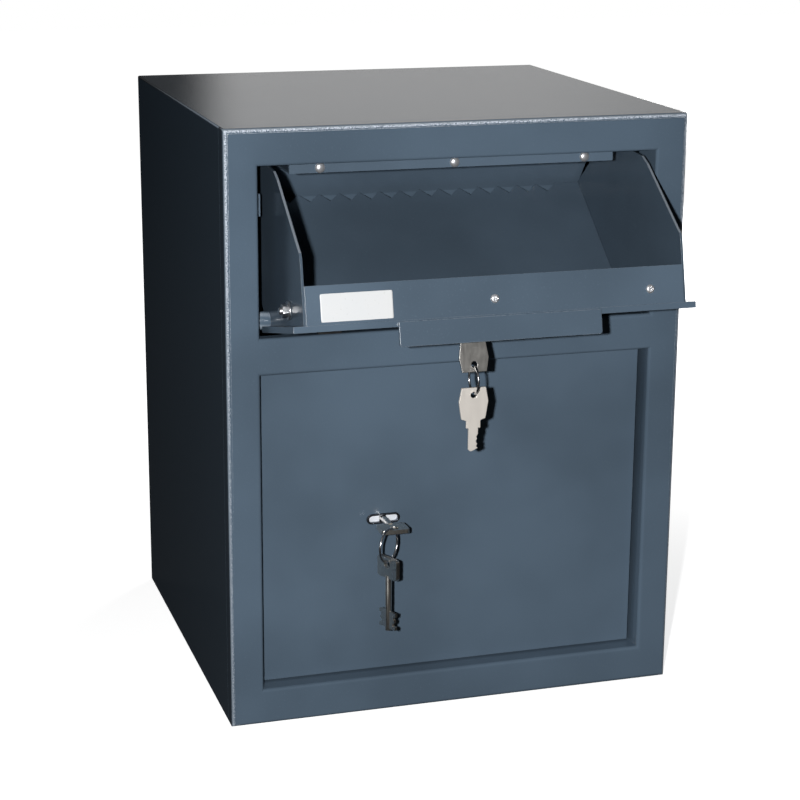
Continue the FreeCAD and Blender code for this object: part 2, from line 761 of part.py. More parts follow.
def make_tray_back():
    """Sloping back of the tray: a flange on the plate, one bend, and a saw toothed free edge."""
    body = new_body("tray_back")
    slope = "tan(back_slope)"
    drop = "tray_sheet / cos(back_slope)"
    tip = "(teeth_radius * 0.735)"
    floor = PLATE_IN + " + tray_sheet"
    low_tip = "(%s - tray_sheet * sin(back_slope))" % tip
    top_tip_z = "(-%s * %s - back_start)" % (tip, slope)
    outline = [
        (PLATE_IN, "floor_flange"),
        (PLATE_IN, "-(%s) * %s - back_start - %s" % (PLATE_IN, slope, drop)),
        (low_tip, "-%s * %s - back_start - %s" % (low_tip, slope, drop)),
        (tip, top_tip_z),
        (floor, "-(%s) * %s - back_start" % (floor, slope)),
        (floor, "floor_flange"),
    ]
    pad(body, "YZ_Plane", "sheet", "-" + CHEEK_IN, "2 * " + CHEEK_IN, outline)
    first = "(tooth_shift - (tooth_count - 1) / 2 * tooth_pitch)"
    root = "%s + tooth_depth * sin(back_slope)" % top_tip_z
    mouth = "%s - 2 * tray_sheet" % top_tip_z
    spread = "(tooth_pitch / 2) * (1 + 2 * tray_sheet / (tooth_depth * sin(back_slope)))"
    notch = [(first + " - " + spread, mouth), (first + " + " + spread, mouth), (first, root)]
    tooth = cut(body, "XZ_Plane", "notch", "0", "teeth_radius", notch)
    repeat(body, [tooth], "H_Axis", "tooth_pitch", "tooth_count")
    body.Placement = HOPPER


def make_tray_rivets():
    """Rivets that hold the tray's flange to the plate's inner face."""
    body = new_body("tray_rivets")
    outline = [("0", "0"), ("rivet_head / 2", "0"), ("rivet_head * 0.42", "1.4"), ("rivet_head * 0.2", "2"), ("0", "2")]
    first = turn(body, "rivet", outline)
    repeat(body, [first], "H_Axis", "rivet_spacing", "3")
    inner = -size("plate_gap") + size("tray_sheet")
    body.Placement = HOPPER * spot(-size("rivet_spacing"), inner, size("floor_flange") / 2, X_AXIS, -90)


def make_cheek_angles():
    """Two small angles that join the cheeks to the plate."""
    body = new_body("cheek_angles")
    leg = PLATE_IN + " + angle_leg"
    outline = [
        (CHEEK_IN, PLATE_IN),
        (CHEEK_IN, leg),
        (CHEEK_IN + " - angle_sheet", leg),
        (CHEEK_IN + " - angle_sheet", PLATE_IN + " + angle_sheet"),
        (CHEEK_IN + " - angle_leg", PLATE_IN + " + angle_sheet"),
        (CHEEK_IN + " - angle_leg", PLATE_IN),
    ]
    angle = pad(body, "XY_Plane", "angle", "bolt_height - angle_leg / 2", "angle_leg", outline)
    hole = [(LATCH_Y, "bolt_height", "bolt_shank")]
    bore = cut(body, "YZ_Plane", "bolt_hole", CHEEK_IN + " - angle_sheet", "angle_sheet", circles=hole)
    mirror(body, [angle, bore])
    body.Placement = HOPPER


def make_cheek_bolts():
    """Two bolts through the angles and cheeks, heads inside."""
    body = new_body("cheek_bolts")
    head = CHEEK_IN + " - angle_sheet"
    tip = CHEEK_OUT + " + bolt_shank * 1.4"
    outline = [
        (head + " - 3", "0"),
        (tip, "0"),
        (tip, "bolt_shank / 2 - 0.6"),
        (tip + " - 0.6", "bolt_shank / 2"),
        (head, "bolt_shank / 2"),
        (head, "bolt_shank * 0.9"),
        (head + " - 3", "bolt_shank * 0.75"),
    ]
    first = turn(body, "bolt", outline, "H_Axis")
    mirror(body, [first])
    y = size("latch_centre") - size("plate_gap")
    body.Placement = HOPPER * spot(0, y, size("bolt_height"))


def make_cheek_nuts():
    """Washer faced nuts outside the cheeks."""
    body = new_body("cheek_nuts")
    washer = pad(body, "YZ_Plane", "washer", CHEEK_OUT, "1.5", circles=[("0", "0", "bolt_washer")])
    nut = pad(body, "YZ_Plane", "nut", CHEEK_OUT + " + 1.5", "4.5", hexagon("0", "0", "bolt_shank * 1.6"))
    bore = cut(body, "YZ_Plane", "bore", CHEEK_OUT, "6", circles=[("0", "0", "bolt_shank")])
    mirror(body, [washer, nut, bore])
    y = size("latch_centre") - size("plate_gap")
    body.Placement = HOPPER * spot(0, y, size("bolt_height"))


def make_pivot_studs():
    """Shouldered studs welded to the cheeks, which turn in the jambs."""
    body = new_body("pivot_studs")
    shoulder = HALF_OPEN + " - 0.3"
    tip = JAMB + " + pivot_pin * 1.2"
    outline = [
        (CHEEK_OUT, "0"),
        (tip, "0"),
        (tip, "pivot_pin / 2 - 0.8"),
        (tip + " - 0.8", "pivot_pin / 2"),
        (shoulder, "pivot_pin / 2"),
        (shoulder, "stud_shoulder / 2"),
        (CHEEK_OUT, "stud_shoulder / 2"),
    ]
    first = turn(body, "stud", outline, "H_Axis")
    mirror(body, [first])
    body.Placement = HOPPER


def make_pivot_nuts():
    """Nuts on the studs behind the jambs."""
    body = new_body("pivot_nuts")
    level = JAMB + " + 0.3"
    nut = pad(body, "YZ_Plane", "nut", level, "pivot_pin * 0.8", hexagon("0", "0", "pivot_pin * 1.625"))
    bore = cut(body, "YZ_Plane", "bore", level, "pivot_pin * 0.8", circles=[("0", "0", "pivot_pin")])
    mirror(body, [nut, bore])
    body.Placement = HOPPER


def lock_spot(angle=0):
    """The cam lock's axis at the height of the pivot plane, turned about the axis."""
    place = spot(size("lock_offset"), 0, value(LOCK_Z), Y_AXIS, angle)
    return HOPPER * place


def make_cam_lock_body():
    """Threaded barrel of the cam lock with its round head on the plate's outer face."""
    body = new_body("cam_lock_body")
    head = "(plate_gap + plate_thickness)"
    outline = [
        ("lock_bore / 2", "-lock_tail + 0.5"),
        ("lock_body / 2", "-lock_tail + 0.5"),
        ("lock_body / 2", head),
        ("lock_head / 2", head),
        ("lock_head / 2", head + " + lock_head_height * 0.35"),
        ("lock_head / 2 - 2", LOCK_FACE),
        ("lock_bore / 2", LOCK_FACE),
    ]
    turn(body, "barrel", outline)
    body.Placement = lock_spot() * spot(0, 0, 0, X_AXIS, 90)


def make_cam_lock_nut():
    """Hex nut that clamps the cam lock to the plate."""
    body = new_body("cam_lock_nut")
    pad(body, "XZ_Plane", "nut", PLATE_IN, "4.5", hexagon("0", "0", "lock_head"))
    cut(body, "XZ_Plane", "bore", PLATE_IN, "4.5", circles=[("0", "0", "lock_body")])
    body.Placement = lock_spot()


def make_lock_plug():
    """Turning core of the cam lock with its keyway and a square tail for the cam."""
    body = new_body("lock_plug")
    length = "(%s + lock_tail)" % LOCK_FACE
    core = "lock_bore - 2 * run_clearance"
    pad(body, "XZ_Plane", "core", "-" + LOCK_FACE, length, circles=[("0", "0", core)])
    pad(body, "XZ_Plane", "tail", "lock_tail", "cam_sheet", box("-4", "4", "-4", "4"))
    half, thick = "flat_blade_width / 2 + 0.2", "flat_key_sheet / 2 + 0.1"
    keyway = box("-(%s)" % half, half, "-(%s)" % thick, thick)
    cut(body, "XZ_Plane", "keyway", "-" + LOCK_FACE, "flat_blade_length + 0.5", keyway)
    cut(body, "XZ_Plane", "thread", "lock_tail + cam_sheet - 5", "5", circles=[("0", "0", "4")])
    body.Placement = lock_spot()


def make_lock_cam():
    """Cam arm with a pin that drives the latch bar."""
    body = new_body("lock_cam")
    tip = "cam_arm + 3"
    outline = [("-7", "-6"), ("7", "-6"), ("7", "3"), ("3.2", tip), ("-3.2", tip), ("-7", "3")]
    pad(body, "XZ_Plane", "arm", "lock_tail", "cam_sheet", outline)
    square = [("4 * sqrt(2) * %s(45 - cam_swing + %d)" % (f, 90 * k)) for k in range(4) for f in ("cos", "sin")]
    corners = list(zip(square[0::2], square[1::2]))
    cut(body, "XZ_Plane", "square", "lock_tail", "cam_sheet", corners)
    pad(body, "XZ_Plane", "pin", "lock_tail + cam_sheet", "4", circles=[("0", "cam_arm", "cam_pin")])
    body.Placement = lock_spot(-size("cam_swing"))


def make_cam_screw():
    """Screw that holds the cam on the plug."""
    body = new_body("cam_screw")
    outline = [("0", "-2"), ("4", "-2"), ("4", "0"), ("2", "0"), ("2", "5"), ("0", "5")]
    turn(body, "screw", outline)
    tail = size("lock_tail") + size("cam_sheet")
    body.Placement = lock_spot() * spot(0, tail, 0, X_AXIS, 90)


def make_latch_bar():
    """Sliding bar under the lip: its end enters the right jamb when the key is turned."""
    body = new_body("latch_bar")
    tail = "(lock_offset - cam_arm * sin(cam_swing) - 8.5)"
    end = CHEEK_OUT + " - latch_end_gap"
    low_y, high_y = LATCH_Y + " - latch_width / 2", LATCH_Y + " + latch_width / 2"
    pad(body, "XY_Plane", "bar", LATCH_LOW, "latch_thickness", box(tail, end, low_y, high_y))
    tab_near, tab_low = "(lock_tail + cam_sheet + 1)", "(%s + 5.1)" % LOCK_Z
    wing = box(tail, tail + " + 17", high_y + " - 1", tab_near + " + 2")
    pad(body, "XY_Plane", "wing", LATCH_LOW, "latch_thickness", wing)
    outline = box(tail, tail + " + 17", tab_low, LATCH_LOW)
    pad(body, "XZ_Plane", "tab", tab_near, "2", outline)
    middle = "(lock_offset - cam_arm * sin(cam_swing))"
    play = "(cam_pin / 2 + 0.7)"
    pin_low = "%s + cam_arm * cos(cam_swing) - cam_pin / 2 - 0.5" % LOCK_Z
    slot = box(middle + " - " + play, middle + " + " + play, pin_low, LATCH_LOW)
    cut(body, "XZ_Plane", "pin_slot", tab_near, "2", slot)
    half = "(lip_screw / 2 + slot_clearance)"
    for k in (0, 1):
        screw = "(lip_screw_left + %d * lip_screw_spacing)" % k
        slot = box(
            "%s - %s - latch_travel" % (screw, half),
            "%s + %s" % (screw, half),
            LATCH_Y + " - " + half,
            LATCH_Y + " + " + half,
        )
        cut(body, "XY_Plane", "screw_slot_%d" % k, LATCH_LOW, "latch_thickness", slot)
    body.Placement = HOPPER


def flat_key(name):
    """Flat cylinder key: bow up at positive Z, blade down, shoulder's foot at the origin."""
    body = new_body(name)
    half = "flat_bow_width / 2"
    neck = "flat_shoulder_length"
    top = "(flat_shoulder_length + flat_bow_length)"
    outline = [
        ("-flat_blade_width / 2 + 1.5", "-flat_blade_length"),
        ("-flat_blade_width / 2 + 3.2", "-flat_blade_length"),
        ("flat_blade_width / 2", "-flat_blade_length + 2.4"),
        ("flat_blade_width / 2 - 1.4", "-flat_blade_length + 4"),
        ("flat_blade_width / 2 - 0.5", "-flat_blade_length + 6"),
        ("flat_blade_width / 2 - 1.8", "-flat_blade_length + 8"),
        ("flat_blade_width / 2 - 0.7", "-flat_blade_length + 10"),
        ("flat_blade_width / 2 - 1.2", "-flat_blade_length + 12"),
        ("flat_blade_width / 2", "-flat_blade_length + 14"),
        ("flat_blade_width / 2", "0"),
        ("flat_shoulder_width / 2", "0"),
        ("flat_shoulder_width / 2", neck),
        (half + " * 0.82", neck + " + 1.5"),
        (half, neck + " + flat_bow_length * 0.58"),
        (half + " * 0.82", top),
        ("-(%s) * 0.82" % half, top),
        ("-(%s)" % half, neck + " + flat_bow_length * 0.58"),
        ("-(%s) * 0.82" % half, neck + " + 1.5"),
        ("-flat_shoulder_width / 2", neck),
        ("-flat_shoulder_width / 2", "0"),
        ("-flat_blade_width / 2", "0"),
        ("-flat_blade_width / 2", "-flat_blade_length + 1.5"),
    ]
    pad(body, "XZ_Plane", "blank", "-flat_key_sheet / 2", "flat_key_sheet", outline)
    hole = [("0", top + " - flat_hole_edge", "flat_hole")]
    cut(body, "XZ_Plane", "hole", "-flat_key_sheet / 2", "flat_key_sheet", circles=hole)
    return body


def flat_hole_reach():
    """Distance from the shoulder's foot to the bow's hole."""
    return size("flat_shoulder_length") + size("flat_bow_length") - size("flat_hole_edge")


def ring_body(name, radius):
    """A plain wire ring about its own Y axis."""
    ring = doc.addObject("Part::Torus", name)
    ring.Label = name
    ring.setExpression("Radius1", bound(radius))
    ring.setExpression("Radius2", bound("wire / 2"))
    NODES.append(ring)
    return ring


def make_cam_keys():
    """The key in the cam lock, a ring through its bow and the spare that hangs from the ring."""
    face = size("plate_gap") + size("plate_thickness") + size("lock_head_height")
    key = flat_key("cam_key")
    key.Placement = lock_spot() * spot(0, -face, 0, X_AXIS, 90)
    hole = key.Placement.multVec(FreeCAD.Vector(0, 0, flat_hole_reach()))
    ring = ring_body("cam_key_ring", "flat_ring_radius")
    top = hole - FreeCAD.Vector(0, 0, size("flat_seat"))
    centre = top - FreeCAD.Vector(0, 0, size("flat_ring_radius"))
    ring.Placement = FreeCAD.Placement(centre, FreeCAD.Rotation(Y_AXIS, 90))
    spare = flat_key("cam_spare_key")
    play = size("flat_hole") / 2 - size("wire") / 2 - 0.3
    drop = size("flat_ring_radius") + play + flat_hole_reach()
    spare.Placement = spot(centre.x, centre.y, centre.z - drop)


def make_door_plate():
    """The recessed door leaf."""
    body = new_body("door_plate")
    pad(body, "XZ_Plane", "leaf", "door_recess", "door_thickness", box(DOOR_LEFT, DOOR_RIGHT, DOOR_LOW, DOOR_TOP))
    straight = "(insert_length - insert_height) / 2"
    window = box(
        "key_offset - " + straight,
        "key_offset + " + straight,
        KEY_Z + " - insert_height / 2",
        KEY_Z + " + insert_height / 2",
    )
    cut(body, "XZ_Plane", "insert_window", "door_recess", "door_thickness", window)
    for side in ("-", "+"):
        end = [("key_offset %s %s" % (side, straight), KEY_Z, "insert_height")]
        cut(body, "XZ_Plane", "insert_end", "door_recess", "door_thickness", circles=end)
    body.Placement = FRONT


def make_keyhole_insert():
    """Bright flat tube round the keyhole."""
    body = new_body("keyhole_insert")
    low = "door_recess - insert_proud"
    depth = "door_thickness + insert_proud"
    straight = "(insert_length - insert_height) / 2"
    outer = box("-" + straight, straight, "-insert_height / 2", "insert_height / 2")
    pad(body, "XZ_Plane", "middle", low, depth, outer)
    for side in ("-", ""):
        pad(body, "XZ_Plane", "end", low, depth, circles=[(side + straight, "0", "insert_height")])
    inner = "(slot_length - slot_height) / 2"
    cut(body, "XZ_Plane", "slot", low, depth, box("-" + inner, inner, "-slot_height / 2", "slot_height / 2"))
    for side in ("-", ""):
        cut(body, "XZ_Plane", "slot_end", low, depth, circles=[(side + inner, "0", "slot_height")])
    body.Placement = FRONT * spot(size("key_offset"), 0, value(KEY_Z))


def make_hinge_blocks():
    """Blocks behind the leaf that turn on the pivot pins."""
    body = new_body("hinge_blocks")
    outline = box(HINGE_X + " - hinge_block / 2", HINGE_X + " + hinge_block / 2", DOOR_IN, HINGE_Y + " + hinge_pin")
    bore = [(HINGE_X, HINGE_Y, "hinge_pin + 2 * run_clearance")]
    for name, low in (("low", DOOR_LOW), ("top", DOOR_TOP + " - hinge_block_height")):
        pad(body, "XY_Plane", name + "_block", low, "hinge_block_height", outline)
        cut(body, "XY_Plane", name + "_bore", low, "hinge_block_height", circles=bore)
    body.Placement = FRONT


def make_dog_bars():
    """Fixed hooks on the hinge side that lie behind the jamb."""
    body = new_body("dog_bars")
    root = HINGE_X + " + hinge_block / 2 + 2"
    outer = HALF_OPEN + " + dog_reach"
    outline = [
        (root, DOOR_IN),
        (root + " + dog_leg", DOOR_IN),
        (root + " + dog_leg", BOLT_Y),
        (outer, BOLT_Y),
        (outer, BOLT_Y + " + dog_sheet"),
        (root, BOLT_Y + " + dog_sheet"),
    ]
    for name, low in (("low", "door_sill + dog_margin"), ("top", DOOR_HEAD + " - dog_margin - dog_height")):
        pad(body, "XY_Plane", name + "_dog", low, "dog_height", outline)
    body.Placement = FRONT


def make_door_stiffeners():
    """Two hat section stiffeners behind the leaf."""
    body = new_body("door_stiffeners")
    left, sheet_t = "stiffener_left", "case_sheet"
    right = "(stiffener_left + stiffener_width)"
    back = DOOR_IN + " + stiffener_depth"
    outline = [
        (left + " - stiffener_flange", DOOR_IN),
        (left + " + " + sheet_t, DOOR_IN),
        (left + " + " + sheet_t, back + " - " + sheet_t),
        (right + " - " + sheet_t, back + " - " + sheet_t),
        (right + " - " + sheet_t, DOOR_IN),
        (right + " + stiffener_flange", DOOR_IN),
        (right + " + stiffener_flange", DOOR_IN + " + " + sheet_t),
        (right, DOOR_IN + " + " + sheet_t),
        (right, back),
        (left, back),
        (left, DOOR_IN + " + " + sheet_t),
        (left + " - stiffener_flange", DOOR_IN + " + " + sheet_t),
    ]
    length = "%s - %s - 2 * stiffener_end_gap" % (DOOR_TOP, DOOR_LOW)
    hat = pad(body, "XY_Plane", "hat", DOOR_LOW + " + stiffener_end_gap", length, outline)
    last = "%s - hinge_block / 2 - stiffener_hinge_gap - stiffener_flange - stiffener_width" % HINGE_X
    repeat(body, [hat], "H_Axis", last + " - stiffener_left", "2")
    body.Placement = FRONT


LOCK_LEFT = "(key_offset - case_left)"
LOCK_RIGHT = "(key_offset + case_right)"
POST = "(case_sheet + 4)"


def lock_corners():
    """Middles of the four screw posts in the lock case."""
    return [
        (x, z)
        for x in (LOCK_LEFT + " + " + POST, LOCK_RIGHT + " - " + POST)
        for z in (KEY_Z + " - case_half_height + " + POST, KEY_Z + " + case_half_height - " + POST)
    ]


def make_lock_case():
    """Box of the door lock, open at the back, with four screw posts."""
    body = new_body("lock_case")
    low, high = KEY_Z + " - case_half_height", KEY_Z + " + case_half_height"
    depth = "case_box_depth - case_sheet"
    pad(body, "XZ_Plane", "block", DOOR_IN, depth, box(LOCK_LEFT, LOCK_RIGHT, low, high))
    inner = box(LOCK_LEFT + " + case_sheet", LOCK_RIGHT + " - case_sheet", low + " + case_sheet", high + " - case_sheet")
    cut(body, "XZ_Plane", "hollow", DOOR_IN + " + case_sheet", depth + " - case_sheet", inner)
    half = "(slot_length / 2 + 1)"
    entry = box("key_offset - " + half, "key_offset + " + half, KEY_Z + " - slot_height / 2", KEY_Z + " + slot_height / 2")
    cut(body, "XZ_Plane", "key_entry", DOOR_IN, "case_sheet", entry)
    play = "(bolt_height_bar / 2 + slot_clearance)"
    mouth = box(
        BOLT_Y + " - slot_clearance",
        BOLT_Y + " + bolt_bar_depth + slot_clearance",
        KEY_Z + " - " + play,
        KEY_Z + " + " + play,
    )
    cut(body, "YZ_Plane", "bolt_mouth", LOCK_LEFT, "case_sheet", mouth)
    for x, z in lock_corners():
        pad(body, "XZ_Plane", "post", DOOR_IN + " + case_sheet", depth + " - case_sheet", circles=[(x, z, "7")])
    bores = [(x, z, "3") for x, z in lock_corners()]
    cut(body, "XZ_Plane", "threads", CASE_BACK + " - case_sheet - 8", "8", circles=bores)
    body.Placement = FRONT


def make_lock_cover():
    """Rear cover of the lock case."""
    body = new_body("lock_cover")
    outline = box(LOCK_LEFT, LOCK_RIGHT, KEY_Z + " - case_half_height", KEY_Z + " + case_half_height")
    pad(body, "XZ_Plane", "plate", CASE_BACK + " - case_sheet", "case_sheet", outline)
    bores = [(x, z, "3") for x, z in lock_corners()]
    cut(body, "XZ_Plane", "bores", CASE_BACK + " - case_sheet", "case_sheet", circles=bores)
    body.Placement = FRONT


def make_cover_screws():
    """Four screws that hold the cover on the posts."""
    body = new_body("cover_screws")
    for k, (x, z) in enumerate(lock_corners()):
        pad(body, "XZ_Plane", "shank_%d" % k, CASE_BACK + " - 8", "8", circles=[(x, z, "3")])
        pad(body, "XZ_Plane", "head_%d" % k, CASE_BACK, "1.8", circles=[(x, z, "6")])
    body.Placement = FRONT


def make_lock_levers():
    """Pack of lever plates above the key's sweep."""
    body = new_body("lock_levers")
    low = KEY_Z + " + bit_width / 2 + 3"
    outline = box(LOCK_LEFT + " + 12", LOCK_RIGHT + " - 12", low, low + " + 16")
    for k in range(3):
        pad(body, "XZ_Plane", "lever_%d" % k, DOOR_IN + " + case_sheet + %d * 4.5" % k, "2", outline)
    pivot = [("key_offset - 16", low + " + 8", "5")]
    pad(body, "XZ_Plane", "pivot", DOOR_IN + " + case_sheet", "13", circles=pivot)
    body.Placement = FRONT


def make_lock_bolt():
    """The lock's own bolt: a thick head behind the jamb and a forked tail round the key's tip."""
    body = new_body("lock_bolt")
    end = "-" + BOLT_END
    key_clear = "(key_offset - bit_width / 2 - 2.7)"
    step = "(%s - bolt_travel - 2)" % LOCK_LEFT
    back = BOLT_Y + " + square_bolt"
    thin = BOLT_Y + " + bolt_bar_depth"
    tail = "(key_offset + 16.3)"
    outline = [
        (end, BOLT_Y),
        (key_clear, BOLT_Y),
        (key_clear, thin + " - 2.8"),
        (tail, thin + " - 2.8"),
        (tail, thin),
        (step, thin),
        (step, back),
        (end, back),
    ]
    pad(body, "XY_Plane", "bar", KEY_Z + " - bolt_height_bar / 2", "bolt_height_bar", outline)
    half = "(key_shaft / 2 + 1)"
    fork = box("key_offset - " + half, tail, KEY_Z + " - " + half, KEY_Z + " + " + half)
    cut(body, "XZ_Plane", "fork", BOLT_Y, "bolt_bar_depth", fork)
    body.Placement = FRONT


def bolt_levels():
    return ["(%s %s %s)" % (KEY_Z, side, BOLT_RISE) for side in ("-", "+")]


def make_locking_bolts():
    """Two square bolts carried above and below the lock."""
    body = new_body("locking_bolts")
    outline = [
        ("-" + BOLT_END + " + 1.5", BOLT_Y),
        ("-" + BOLT_END + " + 41", BOLT_Y),
        ("-" + BOLT_END + " + 41", BOLT_Y + " + square_bolt"),
        ("-" + BOLT_END, BOLT_Y + " + square_bolt"),
        ("-" + BOLT_END, BOLT_Y + " + 1.5"),
    ]
    for k, level in enumerate(bolt_levels()):
        pad(body, "XY_Plane", "bolt_%d" % k, level + " - square_bolt / 2", "square_bolt", outline)
    body.Placement = FRONT


def make_bolt_carrier():
    """Flat bar that ties the lock's bolt to the two square bolts."""
    body = new_body("bolt_carrier")
    low, high = bolt_levels()
    left = "(-%s + 14)" % BOLT_END
    outline = box(left, left + " + carrier_width", low + " - square_bolt / 2 - 2", high + " + square_bolt / 2 + 2")
    pad(body, "XZ_Plane", "bar", BOLT_Y + " + square_bolt", "carrier_sheet", outline)
    body.Placement = FRONT


def make_carrier_screws():
    """Screws through the carrier, one into each bolt."""
    body = new_body("carrier_screws")
    x = "(-%s + 14 + carrier_width / 2 - 2)" % BOLT_END
    low, high = bolt_levels()
    for k, level in enumerate((low, KEY_Z, high)):
        pad(body, "XZ_Plane", "head_%d" % k, BOLT_Y + " + square_bolt + carrier_sheet", "2", circles=[(x, level, "9")])
    body.Placement = FRONT


def make_bolt_guides():
    """Channels on the leaf in which the square bolts slide."""
    body = new_body("bolt_guides")
    back = BOLT_Y + " + square_bolt - slot_clearance"
    floor = BOLT_Y + " - slot_clearance"
    inner = "(square_bolt / 2 + slot_clearance)"
    outer = "(square_bolt / 2 + slot_clearance + guide_wall)"
    for k, level in enumerate(bolt_levels()):
        outline = [
            (DOOR_IN, level + " - " + outer),
            (back, level + " - " + outer),
            (back, level + " - " + inner),
            (floor, level + " - " + inner),
            (floor, level + " + " + inner),
            (back, level + " + " + inner),
            (back, level + " + " + outer),
            (DOOR_IN, level + " + " + outer),
        ]
        pad(body, "YZ_Plane", "guide_%d" % k, "-" + BOLT_END + " + 3", "10", outline)
    body.Placement = FRONT


def bit_key(name):
    """Double bitted key: bow at positive Z with its foot at the origin, shaft and bits below."""
    body = new_body(name)
    sheet_low = "-key_sheet / 2"
    outline = box("-bow_width / 2", "bow_width / 2", "0", "bow_length")
    bow_low = "-bow_thickness / 2"
    pad(body, "XZ_Plane", "bow", bow_low, "bow_thickness", outline)
    length = size("bow_length")
    half = size("bow_width") / 2
    round_edges(
        body,
        "bow_corners",
        "bow_width / 10",
        lambda b: near(b.XLength, 0) and near(b.ZLength, 0) and near(abs(b.XMin), half) and b.ZMin > -length,
    )
    pad(body, "XY_Plane", "shaft", "-key_shaft_length", "key_shaft_length + 2", circles=[("0", "0", "key_shaft")])
    foot = "(-key_shaft_length + bit_tip)"
    wide, narrow = "bit_width / 2", "bit_width * 0.33"
    steps = [("0", wide), ("3.1", narrow), ("5.9", wide + " * 0.86"), ("8.9", narrow + " * 1.15"), ("11.6", wide)]
    right = []
    for k, (rise, reach) in enumerate(steps):
        until = steps[k + 1][0] if k + 1 < len(steps) else "bit_length"
        right += [(reach, "%s + %s" % (foot, rise)), (reach, "%s + %s" % (foot, until))]
    left = [("-(%s)" % x, z) for x, z in reversed(right)]
    pad(body, "XZ_Plane", "bits", sheet_low, "key_sheet", right + left)
    hole = [("0", "bow_length - bow_hole_edge", "bow_hole")]
    cut(body, "XZ_Plane", "hole", bow_low, "bow_thickness", circles=hole)
    return body


def make_safe_keys():
    """The key in the door lock, its ring and the second key that hangs on the ring."""
    key = bit_key("safe_key")
    reach = size("bow_front") - size("bow_length")
    key.Placement = FRONT * spot(size("key_offset"), -reach, value(KEY_Z), X_AXIS, 90)
    hole = key.Placement.multVec(FreeCAD.Vector(0, 0, size("bow_length") - size("bow_hole_edge")))
    radius = size("ring_radius")
    yaw = math.radians(size("ring_yaw"))
    lean = math.radians(size("ring_lean"))
    along = FreeCAD.Vector(math.cos(yaw), -math.sin(yaw), 0)
    centre = hole + along * (radius * math.sin(lean)) - Z_AXIS * (radius * math.cos(lean))
    ring = ring_body("safe_key_ring", "ring_radius")
    normal = along.cross(Z_AXIS)
    ring.Placement = FreeCAD.Placement(centre, FreeCAD.Rotation(Z_AXIS, normal))
    spare = bit_key("safe_spare_key")
    drop = radius + size("spare_seat") + size("bow_length") - size("bow_hole_edge")
    turned = FreeCAD.Rotation(Z_AXIS, 90 - size("ring_yaw") - size("spare_turn"))
    spare.Placement = FreeCAD.Placement(centre - Z_AXIS * drop, turned)


def check_document():
    """Every object is computed, every pocket removes material and every sub-part is sound."""
    for item in doc.Objects:
        bad = [word for word in item.State if word in ("Invalid", "Error")]
        if bad:
            raise RuntimeError("%s (%s) is %s" % (item.Name, item.Label, bad))
        if item.isDerivedFrom("PartDesign::Pocket"):
            before = item.BaseFeature.Shape.Volume
            if item.Shape.Volume > before - 1e-6:
                raise RuntimeError("the pocket %s removes nothing" % item.Label)
    for node in NODES:
        if node.Shape.isNull() or not node.Shape.isValid() or node.Shape.Volume <= 0:
            raise RuntimeError("%s has no sound shape" % node.Label)


def main():
    make_case_wrap()
    make_back_panel()
    make_front_frame()
    make_baffle_strip()
    make_upper_baffle()
    make_baffle_rivets()
    make_hopper_stops()
    make_hopper_buffers()
    make_door_pivot_pins()
    make_hopper_plate()
    make_handle_flange()
    make_lip_strip()
    make_lip_screws()
    make_lip_nuts()
    make_blank_label()
    make_cheeks()
    make_tray_back()
    make_tray_rivets()
    make_cheek_angles()
    make_cheek_bolts()
    make_cheek_nuts()
    make_pivot_studs()
    make_pivot_nuts()
    make_cam_lock_body()
    make_cam_lock_nut()
    make_lock_plug()
    make_lock_cam()
    make_cam_screw()
    make_latch_bar()
    make_cam_keys()
    make_door_plate()
    make_keyhole_insert()
    make_hinge_blocks()
    make_dog_bars()
    make_door_stiffeners()
    make_lock_case()
    make_lock_cover()
    make_cover_screws()
    make_lock_levers()
    make_lock_bolt()
    make_locking_bolts()
    make_bolt_carrier()
    make_carrier_screws()
    make_bolt_guides()
    make_safe_keys()
    doc.recompute()
    check_document()
    os.makedirs("parts", exist_ok=True)
    for node in NODES:
        node.Shape.exportStep(os.path.join("parts", node.Label + ".step"))
    print(len(NODES), "sub-parts")


main()
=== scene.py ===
import math
import bpy
import numpy as np
from mathutils import Matrix, Vector


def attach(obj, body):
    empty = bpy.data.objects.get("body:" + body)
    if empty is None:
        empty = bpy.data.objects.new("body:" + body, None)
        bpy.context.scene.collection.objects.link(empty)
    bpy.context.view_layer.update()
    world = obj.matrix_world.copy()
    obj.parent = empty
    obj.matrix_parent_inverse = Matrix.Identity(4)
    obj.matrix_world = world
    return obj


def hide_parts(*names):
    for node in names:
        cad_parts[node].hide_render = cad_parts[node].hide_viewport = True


# Looks of a drop safe: powder coated steel case, tip out hopper, recessed door, nickel keys on rings.
# Everything is in metres in the frame of the solids: X right, Y back, Z up, origin under the case.

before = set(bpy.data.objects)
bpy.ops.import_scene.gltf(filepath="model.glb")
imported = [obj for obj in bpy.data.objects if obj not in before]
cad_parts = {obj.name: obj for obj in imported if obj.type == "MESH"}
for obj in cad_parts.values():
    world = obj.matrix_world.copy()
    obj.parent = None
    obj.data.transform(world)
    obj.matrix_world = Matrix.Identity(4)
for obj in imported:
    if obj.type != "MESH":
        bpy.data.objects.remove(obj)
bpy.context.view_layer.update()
scene = bpy.context.scene

# Places shared with the solids.
FRONT_Y = -0.185
PIVOT = np.array([0.0, -0.1655, 0.3426])
OPEN_TILT = math.radians(77.3)
LEAN = math.radians(12.7)


def rotation(axis, angle):
    """Right handed rotation matrix about a unit axis, by Rodrigues' formula."""
    x, y, z = np.asarray(axis, float) / np.linalg.norm(axis)
    k = np.array([[0, -z, y], [z, 0, -x], [-y, x, 0]])
    return np.eye(3) + math.sin(angle) * k + (1 - math.cos(angle)) * (k @ k)


HOPPER_TURN = rotation((1, 0, 0), OPEN_TILT)


def hopper_point(x, y, z):
    """A point given from the pivot with the hopper shut, in millimetres, at its place with the hopper open."""
    return PIVOT + HOPPER_TURN @ (np.array([x, y, z]) / 1000)


